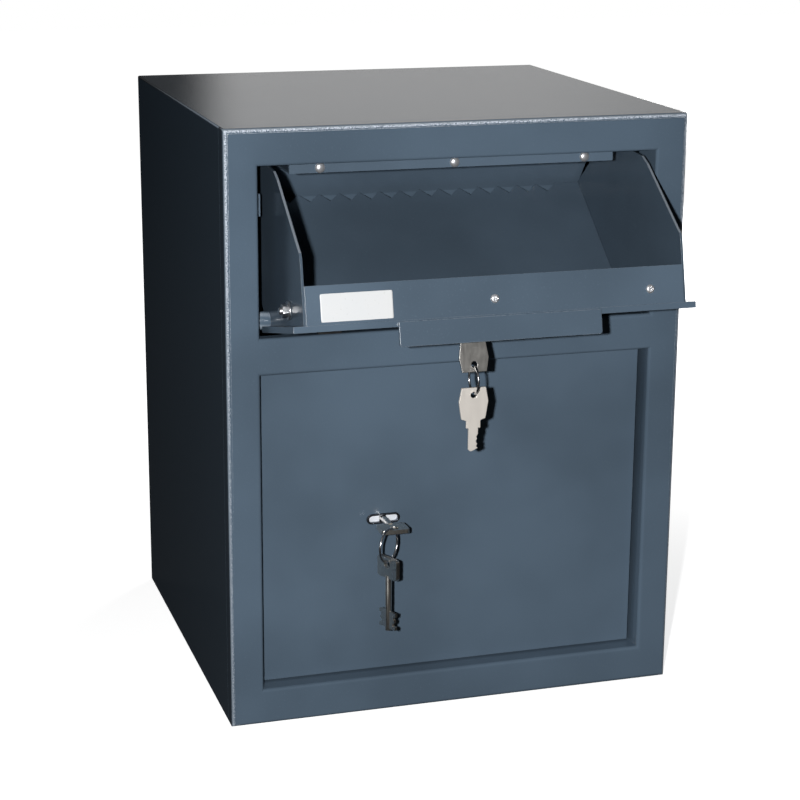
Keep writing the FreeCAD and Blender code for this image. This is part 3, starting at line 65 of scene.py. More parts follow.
# ---------------------------------------------------------------- node groups


def new_group(name, inputs, outputs):
    """A shader node group with float inputs {name: default} and outputs {name: kind}."""
    group = bpy.data.node_groups.new(name, "ShaderNodeTree")
    for label, default in inputs.items():
        kind = "NodeSocketColor" if isinstance(default, tuple) else "NodeSocketFloat"
        socket = group.interface.new_socket(name=label, in_out="INPUT", socket_type=kind)
        socket.default_value = default
    for label, kind in outputs.items():
        group.interface.new_socket(name=label, in_out="OUTPUT", socket_type=kind)
    enter, leave = group.nodes.new("NodeGroupInput"), group.nodes.new("NodeGroupOutput")
    return group, enter, leave


class Wiring:
    """Short calls that add a node to a tree and link it."""

    def __init__(self, tree):
        self.nodes, self.links = tree.nodes, tree.links

    def feed(self, socket, source):
        if hasattr(source, "is_output"):
            self.links.new(source, socket)
        elif source is not None:
            socket.default_value = source

    def math(self, operation, a, b=None, c=None, clamp=False):
        node = self.nodes.new("ShaderNodeMath")
        node.operation, node.use_clamp = operation, clamp
        for socket, source in zip(node.inputs, (a, b, c)):
            self.feed(socket, source)
        return node.outputs[0]

    def spread(self, value, low, high, to_low=0.0, to_high=1.0):
        node = self.nodes.new("ShaderNodeMapRange")
        node.interpolation_type = "SMOOTHSTEP"
        for socket, source in zip(node.inputs[:5], (value, low, high, to_low, to_high)):
            self.feed(socket, source)
        return node.outputs[0]

    def noise(self, scale, detail=2.0, roughness=0.5, stretch=(1, 1, 1), vector=None):
        if vector is None:
            vector = self.nodes.new("ShaderNodeTexCoord").outputs["Object"]
        place = self.nodes.new("ShaderNodeMapping")
        place.inputs["Scale"].default_value = stretch
        self.links.new(vector, place.inputs["Vector"])
        node = self.nodes.new("ShaderNodeTexNoise")
        self.links.new(place.outputs[0], node.inputs["Vector"])
        for label, source in (("Scale", scale), ("Detail", detail), ("Roughness", roughness)):
            self.feed(node.inputs[label], source)
        return node.outputs["Fac"]

    def blend(self, factor, first, second):
        node = self.nodes.new("ShaderNodeMix")
        node.data_type = "RGBA"
        self.feed(node.inputs["Factor"], factor)
        self.feed(node.inputs[6], first)
        self.feed(node.inputs[7], second)
        return node.outputs[2]

    def group(self, tree, **values):
        node = self.nodes.new("ShaderNodeGroup")
        node.node_tree = tree
        for label, source in values.items():
            self.feed(node.inputs[label.replace("_", " ")], source)
        return node.outputs


def edge_wear_group():
    """Mask that is 1 on rounded edges, broken up by noise: the normal there is far from any of the three
    axes of the sheet metal, which are level for the case and leaning for the open hopper."""
    group, enter, leave = new_group(
        "edge wear", {"Lean": 0.0, "Amount": 0.5, "Grain size": 900.0}, {"Mask": "NodeSocketFloat"}
    )
    w = Wiring(group)
    normal = w.nodes.new("ShaderNodeTexCoord").outputs["Normal"]
    turn = w.nodes.new("ShaderNodeVectorRotate")
    turn.rotation_type = "X_AXIS"
    w.links.new(normal, turn.inputs["Vector"])
    w.links.new(enter.outputs["Lean"], turn.inputs["Angle"])
    split = w.nodes.new("ShaderNodeSeparateXYZ")
    w.links.new(turn.outputs[0], split.inputs[0])
    sizes = [w.math("ABSOLUTE", split.outputs[i]) for i in range(3)]
    largest = w.math("MAXIMUM", w.math("MAXIMUM", sizes[0], sizes[1]), sizes[2])
    bend = w.spread(w.math("SUBTRACT", 1.0, largest), 0.04, 0.22)
    chips = w.noise(enter.outputs["Grain size"], 3.0, 0.6)
    patches = w.noise(22.0, 2.0, 0.5)
    level = w.math("ADD", w.math("MULTIPLY", chips, 0.6), w.math("MULTIPLY", patches, 0.4))
    broken = w.spread(w.math("ADD", level, w.math("MULTIPLY", enter.outputs["Amount"], 0.3)), 0.6, 0.72)
    w.links.new(w.math("MULTIPLY", bend, broken), leave.inputs["Mask"])
    return group


def coat_texture_group():
    """Fine orange peel of a powder coat: two sizes of noise as height, and the same bumps as light flecks."""
    group, enter, leave = new_group(
        "coat texture",
        {"Grain size": 750.0, "Waviness": 0.35},
        {"Height": "NodeSocketFloat", "Flecks": "NodeSocketFloat", "Cloud": "NodeSocketFloat"},
    )
    w = Wiring(group)
    fine = w.noise(enter.outputs["Grain size"], 2.0, 0.55)
    wide = w.noise(90.0, 2.0, 0.5)
    cloud = w.noise(7.0, 3.0, 0.5)
    height = w.math("ADD", fine, w.math("MULTIPLY", wide, enter.outputs["Waviness"]))
    w.links.new(height, leave.inputs["Height"])
    w.links.new(w.spread(fine, 0.6, 0.74), leave.inputs["Flecks"])
    w.links.new(cloud, leave.inputs["Cloud"])
    return group


def handling_group():
    """Smudges and fine scratches from use: soft noise patches, and thin stretched noise lines across them."""
    group, enter, leave = new_group(
        "handling", {"Smudges": 0.5, "Scratches": 0.3}, {"Dull": "NodeSocketFloat", "Lines": "NodeSocketFloat"}
    )
    w = Wiring(group)
    soft = w.spread(w.noise(14.0, 4.0, 0.6), 0.45, 0.7)
    w.links.new(w.math("MULTIPLY", soft, enter.outputs["Smudges"]), leave.inputs["Dull"])
    one = w.spread(w.noise(60.0, 1.0, 0.4, (1, 1, 26)), 0.72, 0.78)
    two = w.spread(w.noise(48.0, 1.0, 0.4, (22, 1.5, 1)), 0.73, 0.79)
    lines = w.math("MULTIPLY", w.math("MAXIMUM", one, two), enter.outputs["Scratches"])
    w.links.new(lines, leave.inputs["Lines"])
    return group


def brushed_group():
    """Grain of drawn or turned metal: noise stretched along one axis."""
    group, enter, leave = new_group("metal grain", {"Strength": 0.5, "Grain size": 300.0}, {"Grain": "NodeSocketFloat"})
    w = Wiring(group)
    along = w.noise(enter.outputs["Grain size"], 3.0, 0.6, (1, 1, 0.06))
    spots = w.noise(130.0, 3.0, 0.6)
    mixed = w.math("ADD", w.math("MULTIPLY", along, 0.7), w.math("MULTIPLY", spots, 0.3))
    centred = w.math("MULTIPLY", w.math("SUBTRACT", mixed, 0.5), enter.outputs["Strength"])
    w.links.new(centred, leave.inputs["Grain"])
    return group


def chips_group():
    """Mask of small flaked spots round one point of a front face, given by its X and Z."""
    group, enter, leave = new_group("chips", {"X": 0.0, "Z": 0.0, "Reach": 0.003}, {"Mask": "NodeSocketFloat"})
    w = Wiring(group)
    split = w.nodes.new("ShaderNodeSeparateXYZ")
    w.links.new(w.nodes.new("ShaderNodeTexCoord").outputs["Object"], split.inputs[0])
    across = w.math("SUBTRACT", split.outputs[0], enter.outputs["X"])
    up = w.math("SUBTRACT", split.outputs[2], enter.outputs["Z"])
    away = w.math("SQRT", w.math("ADD", w.math("MULTIPLY", across, across), w.math("MULTIPLY", up, up)))
    share = w.math("DIVIDE", away, enter.outputs["Reach"])
    level = w.math("SUBTRACT", w.noise(1300.0, 3.0, 0.7), w.math("MULTIPLY", share, 0.16))
    w.links.new(w.spread(level, 0.44, 0.48), leave.inputs["Mask"])
    return group


def painted_light_group():
    """Masks of the case's coat: painted shade on its two outer sides, the outline of its front, and a painted
    highlight of glint flecks on that rounding.
    """
    group, enter, leave = new_group(
        "side_shade_and_glint",
        {"Half width": 0.196, "Height": 0.5},
        {"Mask": "NodeSocketFloat", "Rim": "NodeSocketFloat", "Painted glint": "NodeSocketFloat"},
    )
    w = Wiring(group)
    place, facing = w.nodes.new("ShaderNodeSeparateXYZ"), w.nodes.new("ShaderNodeSeparateXYZ")
    source = w.nodes.new("ShaderNodeTexCoord").outputs
    w.links.new(source["Object"], place.inputs[0])
    w.links.new(source["Normal"], facing.inputs[0])
    reach = w.math("SUBTRACT", w.math("ABSOLUTE", place.outputs[0]), enter.outputs["Half width"])
    outer = w.spread(reach, -0.005, -0.001)
    side = w.spread(w.math("ABSOLUTE", facing.outputs[0]), 0.3, 0.95)
    # painted shade: this Mask darkens the case's two outer sides, standing in for the shade the lamp leaves on them
    w.links.new(w.math("MULTIPLY", outer, side), leave.inputs["Mask"])
    top = w.spread(w.math("SUBTRACT", place.outputs[2], enter.outputs["Height"]), -0.008, -0.005)
    rim = w.math("MAXIMUM", w.spread(reach, -0.008, -0.005), top)
    w.links.new(rim, leave.inputs["Rim"])
    front = w.math("ABSOLUTE", facing.outputs[1])
    # painted highlight: the band of the rounding that faces the lamp, broken into flecks and stronger higher up, stands
    # in for the lamp's glint there
    band = w.math("SUBTRACT", w.spread(front, 0.66, 0.76), w.spread(front, 0.94, 0.975))
    high = w.spread(place.outputs[2], 0.15, 0.5, 0.35, 1.0)
    spots = w.spread(w.math("ADD", w.noise(1100.0, 2.0, 0.6), w.math("MULTIPLY", high, 0.1)), 0.56, 0.62)
    w.links.new(w.math("MULTIPLY", w.math("MULTIPLY", band, rim), w.math("MULTIPLY", spots, high)), leave.inputs["Painted glint"])
    return group


EDGE_WEAR, COAT, HANDLING, GRAIN = edge_wear_group(), coat_texture_group(), handling_group(), brushed_group()
CHIPS, PAINTED_LIGHT = chips_group(), painted_light_group()


# ---------------------------------------------------------------- materials


def shader(name):
    material = bpy.data.materials.new(name)
    material.use_nodes = True
    surface = material.node_tree.nodes["Principled BSDF"]
    return material, Wiring(material.node_tree), surface


def bump(w, surface, height, depth, strength=1.0):
    node = w.nodes.new("ShaderNodeBump")
    node.inputs["Strength"].default_value = strength
    node.inputs["Distance"].default_value = depth
    w.links.new(height, node.inputs["Height"])
    w.links.new(node.outputs[0], surface.inputs["Normal"])


def powder_coat(
    name, colour, rough=0.2, lean=0.0, wear=0.5, grain=750.0, depth=0.00006, scratches=0.25, smudges=0.5, wave=0.35,
    chips=(), side_shade_and_glint=0.0
):
    """Textured powder coat: flecked colour, cloudy gloss, worn rounded edges, light handling marks, and flaked
    spots where asked for. Where asked for, also painted shade darkening the case's outer sides and a painted
    highlight of pale glint flecks on its front rounding."""
    material, w, surface = shader(name)
    coat = w.group(COAT, Grain_size=grain, Waviness=wave)
    edge = w.group(EDGE_WEAR, Lean=lean, Amount=wear)["Mask"]
    for x, z, reach in chips:
        edge = w.math("MAXIMUM", edge, w.group(CHIPS, X=x, Z=z, Reach=reach)["Mask"])
    marks = w.group(HANDLING, Smudges=smudges, Scratches=scratches)
    shade = tuple(c * 0.86 for c in colour) + (1,)
    lit = tuple(c * 1.12 for c in colour) + (1,)
    fleck = tuple(min(1, c * 1.45 + 0.01) for c in colour) + (1,)
    bare = tuple(min(1, c * 1.3 + 0.16) for c in colour) + (1,)
    base = w.blend(w.spread(coat["Cloud"], 0.3, 0.7), shade, lit)
    base = w.blend(w.math("MULTIPLY", coat["Flecks"], 0.22), base, fleck)
    base = w.blend(w.math("MULTIPLY", marks["Lines"], 0.6), base, fleck)
    if side_shade_and_glint:
        # painted shade: the outer sides take the coat colour darkened by this share
        deep = tuple(c * (1 - side_shade_and_glint) for c in colour) + (1,)
        painted_light_zones = w.group(PAINTED_LIGHT)
        base = w.blend(painted_light_zones["Mask"], base, deep)
        edge = w.math("MULTIPLY", edge, painted_light_zones["Rim"])
        base = w.blend(w.math("MULTIPLY", edge, 0.85), base, bare)
        # painted highlight: pale flecks on the front's rounding
        base = w.blend(painted_light_zones["Painted glint"], base, (0.66, 0.72, 0.80, 1))
    else:
        base = w.blend(w.math("MULTIPLY", edge, 0.85), base, bare)
    w.links.new(base, surface.inputs["Base Color"])
    gloss = w.math("ADD", rough, w.math("MULTIPLY", marks["Dull"], 0.10))
    gloss = w.math("SUBTRACT", gloss, w.math("MULTIPLY", edge, 0.08))
    w.links.new(gloss, surface.inputs["Roughness"])
    surface.inputs["Specular IOR Level"].default_value = 0.5
    bump(w, surface, coat["Height"], depth)
    return material


def plated(name, colour, rough=0.22, grain=0.4, grain_size=300.0, wear=(0.35, 0.33, 0.30), depth=0.00003, metal=1.0):
    """Plated or bare metal: grain in the gloss, faint darker rubbed patches and small dents."""
    material, w, surface = shader(name)
    lines = w.group(GRAIN, Strength=grain, Grain_size=grain_size)["Grain"]
    marks = w.group(HANDLING, Smudges=0.6, Scratches=0.8)
    base = w.blend(w.math("MULTIPLY", marks["Dull"], 0.5), tuple(colour) + (1,), tuple(wear) + (1,))
    base = w.blend(w.math("MULTIPLY", marks["Lines"], 0.4), base, (0.85, 0.85, 0.85, 1))
    w.links.new(base, surface.inputs["Base Color"])
    surface.inputs["Metallic"].default_value = metal
    gloss = w.math("ADD", w.math("ADD", rough, lines), w.math("MULTIPLY", marks["Dull"], 0.15), clamp=True)
    w.links.new(gloss, surface.inputs["Roughness"])
    bump(w, surface, w.math("ADD", lines, w.math("MULTIPLY", marks["Lines"], -0.5)), depth)
    return material


def soft_rubber(name):
    """Matt black rubber: dusty mottling and a fine grain."""
    material, w, surface = shader(name)
    dust = w.spread(w.noise(120.0, 4.0, 0.6), 0.4, 0.75)
    w.links.new(w.blend(dust, (0.012, 0.012, 0.013, 1), (0.045, 0.044, 0.042, 1)), surface.inputs["Base Color"])
    w.links.new(w.math("ADD", 0.7, w.math("MULTIPLY", dust, 0.2)), surface.inputs["Roughness"])
    bump(w, surface, w.noise(1400.0, 2.0), 0.00006)
    return material


def label_film(name):
    """Blank white film: slight yellowing, faint creases and a scuffed rim."""
    material, w, surface = shader(name)
    age = w.noise(30.0, 3.0)
    scuffs = w.spread(w.noise(320.0, 3.0, 0.7), 0.62, 0.72)
    base = w.blend(age, (0.66, 0.68, 0.70, 1), (0.72, 0.72, 0.71, 1))
    base = w.blend(w.math("MULTIPLY", scuffs, 0.4), base, (0.5, 0.5, 0.48, 1))
    w.links.new(base, surface.inputs["Base Color"])
    w.links.new(w.math("ADD", 0.38, w.math("MULTIPLY", scuffs, 0.3)), surface.inputs["Roughness"])
    bump(w, surface, w.noise(70.0, 2.0), 0.00008)
    return material


SLATE = (0.085, 0.122, 0.165)
# painted shade: the slate darkened to 0.7 for the sloping tray's back and the cheeks, which lie in the hopper's shade
# or turn from the lamp
SLATE_IN_PAINTED_SHADE = tuple(0.7 * c for c in SLATE)
KEYHOLE_CHIPS = ((-0.0787, 0.1722, 0.0022), (-0.0655, 0.1724, 0.0022))
FINISH = {
    # the case's coat carries painted shade, 0.4 darker, on its outer sides and a painted glint on its front rounding
    "case_paint": powder_coat(
        "slate powder coat", SLATE, 0.11, wear=1.0, depth=0.00007, scratches=0.08, smudges=0.12, wave=0.06, side_shade_and_glint=0.4
    ),
    "door_paint": powder_coat(
        "slate powder coat of the door", SLATE, wear=0.3, scratches=0.12, wave=0.2, chips=KEYHOLE_CHIPS
    ),
    "hopper_paint": powder_coat("slate coat of the hopper", SLATE, 0.22, LEAN, 0.7, 620.0, 0.00005, 0.08),
    "inner_paint": powder_coat("slate coat inside", SLATE, 0.3, wear=0.4, depth=0.00006),
    "zinc_steel": plated("zinc plated steel", (0.58, 0.59, 0.61), 0.30, 0.5, 500.0, (0.42, 0.42, 0.41)),
    "bright_rivet": plated("bright rivets", (0.80, 0.81, 0.84), 0.3, 0.2, 900.0, metal=0.8),
    "lock_chrome": plated("chrome of the locks", (0.72, 0.73, 0.75), 0.12, 0.12, 400.0),
    "nickel_key": plated("nickel of the keys", (0.62, 0.59, 0.55), 0.42, 0.3, 420.0, (0.42, 0.40, 0.36)),
    "ring_wire": plated("wire of the rings", (0.60, 0.60, 0.61), 0.2, 0.3, 700.0),
    "buffer_rubber": soft_rubber("black rubber"),
    "label_film": label_film("blank white film"),
}
# Pieces whose finish differs a little from the rest of their slot; several differ by painted shade or a painted
# highlight.
SPECIAL = {
    "tray_back": powder_coat("slate coat of the sloping tray, darkened as painted shade", SLATE_IN_PAINTED_SHADE, 0.3, LEAN, -2.0, 620.0, 0.00005, 0.08),
    "left_cheek": powder_coat("slate coat of the cheeks, darkened as painted shade", SLATE_IN_PAINTED_SHADE, 0.2, LEAN, 1.4, 620.0, 0.00005, 0.15),
    "upper_baffle": powder_coat("slate coat of the baffle", SLATE, 0.3, 0.0, -2.0, 620.0, 0.00005, 0.08),
    # painted shade: the keyhole's ring is coloured near black, standing in for the shadow round the slot
    "keyhole_insert": plated("keyhole ring painted dark as shadow", (0.10, 0.11, 0.13), 0.35, 0.1, 400.0, (0.06, 0.06, 0.07)),
    # painted light: the two keys on the hopper's ring are one nickel in two tones, the key in the lock darker as
    # painted shade, the spare lighter and less metallic as a painted highlight
    "cam_key": plated("nickel of the key, painted darker as shade", (0.40, 0.39, 0.37), 0.4, 0.3, 420.0, (0.30, 0.29, 0.27)),
    "cam_spare_key": plated("nickel of the spare key, painted lighter as highlight", (0.84, 0.79, 0.73), 0.5, 0.25, 420.0, (0.6, 0.57, 0.52), metal=0.55),
    "safe_key": plated("nickel of the safe's keys", (0.78, 0.75, 0.70), 0.28, 0.25, 420.0, (0.5, 0.48, 0.44)),
}
SHUTTER = plated("bright sheet in the keyhole", (0.86, 0.90, 0.96), 0.5, 0.1, 400.0, (0.7, 0.72, 0.76), metal=0.3)
SPECIAL["right_cheek"], SPECIAL["safe_spare_key"] = SPECIAL["left_cheek"], SPECIAL["safe_key"]


# ---------------------------------------------------------------- surfaces


def surface_piece(name, grids, material_slot, body, replaced=(), smooth=True):
    """One mesh from several grids of points. Each grid is (rows, columns, 3, wrap): quads join row to row and
    column to column, and a wrapped grid joins its last column to its first."""
    points, faces, start = [], [], 0
    for grid, wrap in grids:
        rows, columns = grid.shape[:2]
        index = np.arange(rows * columns).reshape(rows, columns) + start
        right = np.roll(index, -1, axis=1)
        if not wrap:
            index, right = index[:, :-1], right[:, :-1]
        faces.append(np.stack([index[:-1], right[:-1], right[1:], index[1:]], -1).reshape(-1, 4))
        points.append(grid.reshape(-1, 3))
        start += rows * columns
    mesh = bpy.data.meshes.new(name)
    mesh.from_pydata(np.concatenate(points).tolist(), [], np.concatenate(faces).tolist())
    mesh.validate()
    mesh.polygons.foreach_set("use_smooth", np.full(len(mesh.polygons), smooth))
    return finish_piece(name, mesh, material_slot, body, replaced)


def finish_piece(name, mesh, material_slot, body, replaced=()):
    """Puts a mesh in the scene: merged, faces outwards, with its finish, riding on its body."""
    import bmesh

    work = bmesh.new()
    work.from_mesh(mesh)
    bmesh.ops.remove_doubles(work, verts=work.verts, dist=1e-7)
    bmesh.ops.dissolve_degenerate(work, edges=work.edges, dist=1e-8)
    bmesh.ops.recalc_face_normals(work, faces=work.faces)
    work.to_mesh(mesh)
    work.free()
    piece = bpy.data.objects.new(name, mesh)
    scene.collection.objects.link(piece)
    mesh.materials.append(FINISH[material_slot])
    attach(piece, body)
    if replaced:
        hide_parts(*replaced)
    return piece


def frame_of(axis):
    """Two unit vectors square to an axis and to each other, and the axis."""
    axis = np.asarray(axis, float) / np.linalg.norm(axis)
    side = np.cross(axis, (0, 0, 1)) if abs(axis[2]) < 0.9 else np.cross(axis, (1, 0, 0))
    side /= np.linalg.norm(side)
    return side, np.cross(axis, side), axis


def turned(profile, centre, axis, steps=48):
    """Surface of revolution: each (radius, height) of the profile in millimetres goes round the axis."""
    profile = np.asarray(profile, float) / 1000
    side, other, axis = frame_of(axis)
    angle = np.linspace(0, 2 * np.pi, steps, endpoint=False)
    ring = np.cos(angle)[:, None] * side + np.sin(angle)[:, None] * other
    grid = profile[:, 0, None, None] * ring[None] + profile[:, 1, None, None] * axis + np.asarray(centre)
    return grid, True


def hexagonal(size, low, high, bore, centre, axis, chamfer=0.5, first=0.0):
    """Nut or bolt head: a rounded hexagon as a polar radius, cut back at both ends by a turned chamfer cone."""
    side, other, axis = frame_of(axis)
    angle = np.linspace(0, 2 * np.pi, 96, endpoint=False)
    sector = (angle - first + np.pi / 6) % (np.pi / 3) - np.pi / 6
    flat = size / 2 / np.cos(sector)
    corner = size / 2 / math.cos(math.pi / 6)
    cone = corner - chamfer
    levels = [(low, 0.0, True), (low, 1.0, True), (low + chamfer * 0.8, 1.0, False)]
    levels += [(high - chamfer * 0.8, 1.0, False), (high, 1.0, True), (high, 0.0, True)]
    rows = []
    for height, share, tight in levels:
        radius = np.minimum(flat, cone) if tight else flat
        radius = np.full_like(angle, bore) if share == 0 else radius
        rows.append(np.stack([radius, np.full_like(angle, height)], -1))
    rows.append(rows[0])
    rows = np.asarray(rows) / 1000
    ring = np.cos(angle)[:, None] * side + np.sin(angle)[:, None] * other
    return rows[..., 0, None] * ring[None] + rows[..., 1, None] * axis + np.asarray(centre), True


def wire_ring(centre, normal, radius, wire, overlap=0.0):
    """Ring of round wire: a small circle carried round a large one, once round. The overlap argument is not
    used."""
    side, other, axis = frame_of(normal)
    turns = 1.0
    along = np.linspace(0, 2 * np.pi * turns, 97)
    around = np.linspace(0, 2 * np.pi, 20, endpoint=False)
    out = np.cos(along)[:, None] * side + np.sin(along)[:, None] * other
    centre_line = radius * out
    section = np.cos(around)[None, :, None] * out[:, None] + np.sin(around)[None, :, None] * axis
    return (np.asarray(centre) * 1000 + centre_line[:, None] + wire / 2 * section) / 1000, True


def domed_head(centre, axis, radius, height, recess=0.0, cells=33):
    """Pan head: a disc of points mapped from a square, height falling as a fourth power of the radius, less a
    cross recess where the distance to either bar of the cross is small."""
    u = np.linspace(-1, 1, cells)
    a, b = np.meshgrid(u, u)
    x = a * np.sqrt(1 - b * b / 2)
    y = b * np.sqrt(1 - a * a / 2)
    r = np.sqrt(x * x + y * y)
    z = height * (1 - 0.55 * r**2 - 0.45 * r**8)
    if recess:
        bar = np.minimum(np.abs(x), np.abs(y))
        deep = np.clip((0.13 - bar) / 0.05, 0, 1) * np.clip((0.62 - r) / 0.1, 0, 1)
        z = z - recess * deep
    side, other, axis = frame_of(axis)
    grid = x[..., None] * radius * side + y[..., None] * radius * other + z[..., None] * axis
    return grid / 1000 + np.asarray(centre), False


# ---------------------------------------------------------------- solids that stay, with soft edges


def soften(node, slot_name, width=0.0005, segments=2, flat=3.0):
    """A solid keeps its shape: its triangles are welded, flat ones joined, and its sharp edges rounded."""
    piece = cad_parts[node]
    while len(piece.data.materials) < 1:
        piece.data.materials.append(None)
    for index in range(len(piece.data.materials)):
        piece.data.materials[index] = SPECIAL.get(node, FINISH[slot_name])
    if width:
        weld = piece.modifiers.new("weld", "WELD")
        weld.merge_threshold = 1e-6
        if flat:
            join = piece.modifiers.new("join flats", "DECIMATE")
            join.decimate_type, join.angle_limit = "DISSOLVE", math.radians(flat)
        edge = piece.modifiers.new("soft edges", "BEVEL")
        edge.width, edge.segments, edge.limit_method = width, segments, "ANGLE"
        edge.angle_limit, edge.harden_normals = math.radians(32), True
        edge.use_clamp_overlap = True
    return piece


SHEETS = {
    "case_paint": {"case_wrap": 0.0006, "back_panel": 0.0005, "front_frame": 0.0005},
    "door_paint": {"door_plate": 0.0007},
    "hopper_paint": {
        "hopper_plate": 0.0007,
        "handle_flange": 0.0007,
        "lip_strip": 0.0004,
        "pivot_studs": 0.0003,
        "left_cheek": 0.0005,
        "right_cheek": 0.0005,
        "tray_back": 0.0004,
    },
    "inner_paint": {
        "baffle_strip": 0.0005,
        "upper_baffle": 0.0003,
        "hopper_stops": 0.0004,
        "cheek_angles": 0.0004,
        "door_stiffeners": 0.0003,
        "hinge_blocks": 0.0006,
        "dog_bars": 0.0006,
    },
    "zinc_steel": {
        "lock_case": 0.0003,
        "lock_cover": 0.0003,
        "bolt_guides": 0.0004,
        "lock_cam": 0.0003,
        "latch_bar": 0.0003,
        "lock_levers": 0.0002,
        "lock_bolt": 0.0005,
        "locking_bolts": 0.0006,
        "bolt_carrier": 0.0004,
        "door_pivot_pins": 0.0003,
        "lip_nuts": 0.0003,
        "cam_screw": 0.0003,
        "cover_screws": 0.0003,
        "cheek_bolts": 0.0003,
        "carrier_screws": 0.0004,
    },
    "lock_chrome": {"lock_plug": 0.0002, "cam_lock_body": 0.0003, "keyhole_insert": 0.0003},
    "nickel_key": {"cam_key": 0.0004, "cam_spare_key": 0.0004, "safe_key": 0.0008, "safe_spare_key": 0.0008},
    "buffer_rubber": {"hopper_buffers": 0.0005},
}


def dress_solids():
    for slot_name, nodes in SHEETS.items():
        for node, width in nodes.items():
            soften(node, slot_name, width, flat=0.0 if node == "lock_cam" else 3.0)


# ---------------------------------------------------------------- new pieces


def make_baffle_rivets():
    """Dome headed rivets: a smooth cap outside, a swaged ring inside."""
    grids = []
    cap = [(4.2 * math.cos(t), 2.4 * math.sin(t)) for t in np.linspace(0, math.pi / 2, 14)]
    shank = [(0, -6.0), (2.2, -6.0), (2.4, -5.7), (2.4, -4.5), (2.0, -4.5), (2.0, 0), (4.2, 0)] + cap
    for k in (-1, 0, 1):
        grids.append(turned(shank, (0.112 * k - 0.0045, FRONT_Y + 0.008, 0.466), (0, -1, 0), 40))
    surface_piece("dome_rivets", grids, "bright_rivet", "safe_case", ["baffle_rivets"])


def make_tray_rivets():
    """Low rivet heads on the tray's flange."""
    cap = [(0, 0)] + [(3.9 * math.cos(t), 1.99 * math.sin(t)) for t in np.linspace(0, math.pi / 2, 12)]
    grids = [turned(cap, hopper_point(112 * k, -3.0, 11), HOPPER_TURN @ (0, 1, 0), 36) for k in (-1, 0, 1)]
    surface_piece("flange_rivets", grids, "bright_rivet", "hopper", ["tray_rivets"])


def make_lip_screws():
    """Pan head screws with a cross recess."""
    grids = []
    axis = HOPPER_TURN @ (0, 0, 1)
    for x in (-4, 126):
        middle = hopper_point(x, 7.5, 115.4) + axis * 0.0004
        dome, _ = domed_head(middle, axis, 3.6, 1.55, 0.9)
        rim = np.concatenate([dome[0, :-1], dome[:-1, -1], dome[-1, :0:-1], dome[:0:-1, 0]]) - middle
        levels = ((1, 0), (1, 0.00015), (0.985, 0.00039), (0.69, 0.00039), (0.69, 0.0121), (0, 0.0121))
        rows = [middle + rim * share - axis * drop for share, drop in levels]
        grids += [(dome, False), (np.stack(rows), True)]
    surface_piece("pan_screws", grids, "bright_rivet", "hopper", ["lip_screws"])


def make_hopper_nuts():
    """Washers and chamfered nuts outside the cheeks, and the nuts on the pivot studs behind the jambs."""
    grids = []
    pivot = []
    washer = [(3.0, 0), (7.2, 0), (7.5, 0.3), (7.5, 1.2), (7.2, 1.5), (3.0, 1.5), (3.0, 0)]
    for side in (-1, 1):
        out = (side, 0, 0)
        place = hopper_point(156.5 * side, 7.5, 71.4)
        grids.append(turned(washer, place, out, 44))
        grids.append(hexagonal(9.6, 1.5, 6.0, 3.0, place, out, 0.45, 0.4))
        pivot.append(hexagonal(13.0, 0, 6.4, 4.0, hopper_point(171.3 * side, 0, 0), out, 0.6, 0.2))
    surface_piece("cheek_washers_and_nuts", grids, "zinc_steel", "hopper", ["cheek_nuts"])
    surface_piece("stud_nuts", pivot, "zinc_steel", "hopper", ["pivot_nuts"])
    lock = hopper_point(-16.5, -4.5, 93.4)
    nut = [hexagonal(24.0, 0, 4.5, 9.5, lock, HOPPER_TURN @ (0, 1, 0), 0.8, math.pi / 6)]
    surface_piece("lock_clamp_nut", nut, "zinc_steel", "hopper", ["cam_lock_nut"])


def make_rings():
    """The two key rings, of round wire."""
    hole = hopper_point(-16.5, -43, 93.4)
    centre = hole - np.array([0, 0, 0.00085 + 0.0113])
    surface_piece("hopper_key_ring", [wire_ring(centre, (1, 0, 0), 11.3, 2.0)], "ring_wire", "cam_ring", ["cam_key_ring"])
    yaw, lean = math.radians(137), math.radians(40)
    along = np.array([math.cos(yaw), -math.sin(yaw), 0])
    hole = np.array([-0.0603, -0.199, 0.16625])
    centre = hole + along * 0.014 * math.sin(lean) - np.array([0, 0, 0.014 * math.cos(lean)])
    normal = np.cross(along, (0, 0, 1))
    surface_piece("door_key_ring", [wire_ring(centre, normal, 14.0, 2.0)], "ring_wire", "door_ring", ["safe_key_ring"])


def make_label():
    """Blank film with round corners: a flat superellipse patch, drawn in a hair at its corners."""
    u = np.linspace(-1, 1, 41)
    a, b = np.meshgrid(u, u)
    x = -114.5 + 28.5 * np.clip(a * 1.02, -1, 1)
    y = 2 - 4.5 + 10.75 + 10.75 * np.clip(b * 1.02, -1, 1)
    near = np.clip(np.abs(a) - 0.94, 0, 1) / 0.06 * np.clip(np.abs(b) - 0.86, 0, 1) / 0.14
    y = y - np.sign(b) * near * 0.35
    x = x - np.sign(a) * near * 0.35
    tops = []
    for z in (115.42, 115.6):
        flat = np.stack([x, y, np.full_like(x, z)], -1) / 1000
        tops.append(flat @ HOPPER_TURN.T + PIVOT)
    top, low = tops[1], tops[0]
    rim = []
    for row in (np.s_[0, :], np.s_[:, -1], np.s_[-1, ::-1], np.s_[::-1, 0]):
        rim.append((np.stack([top[row], low[row]]), False))
    surface_piece("blank_film", [(top, False), (low, False)] + rim, "label_film", "hopper", ["blank_label"])


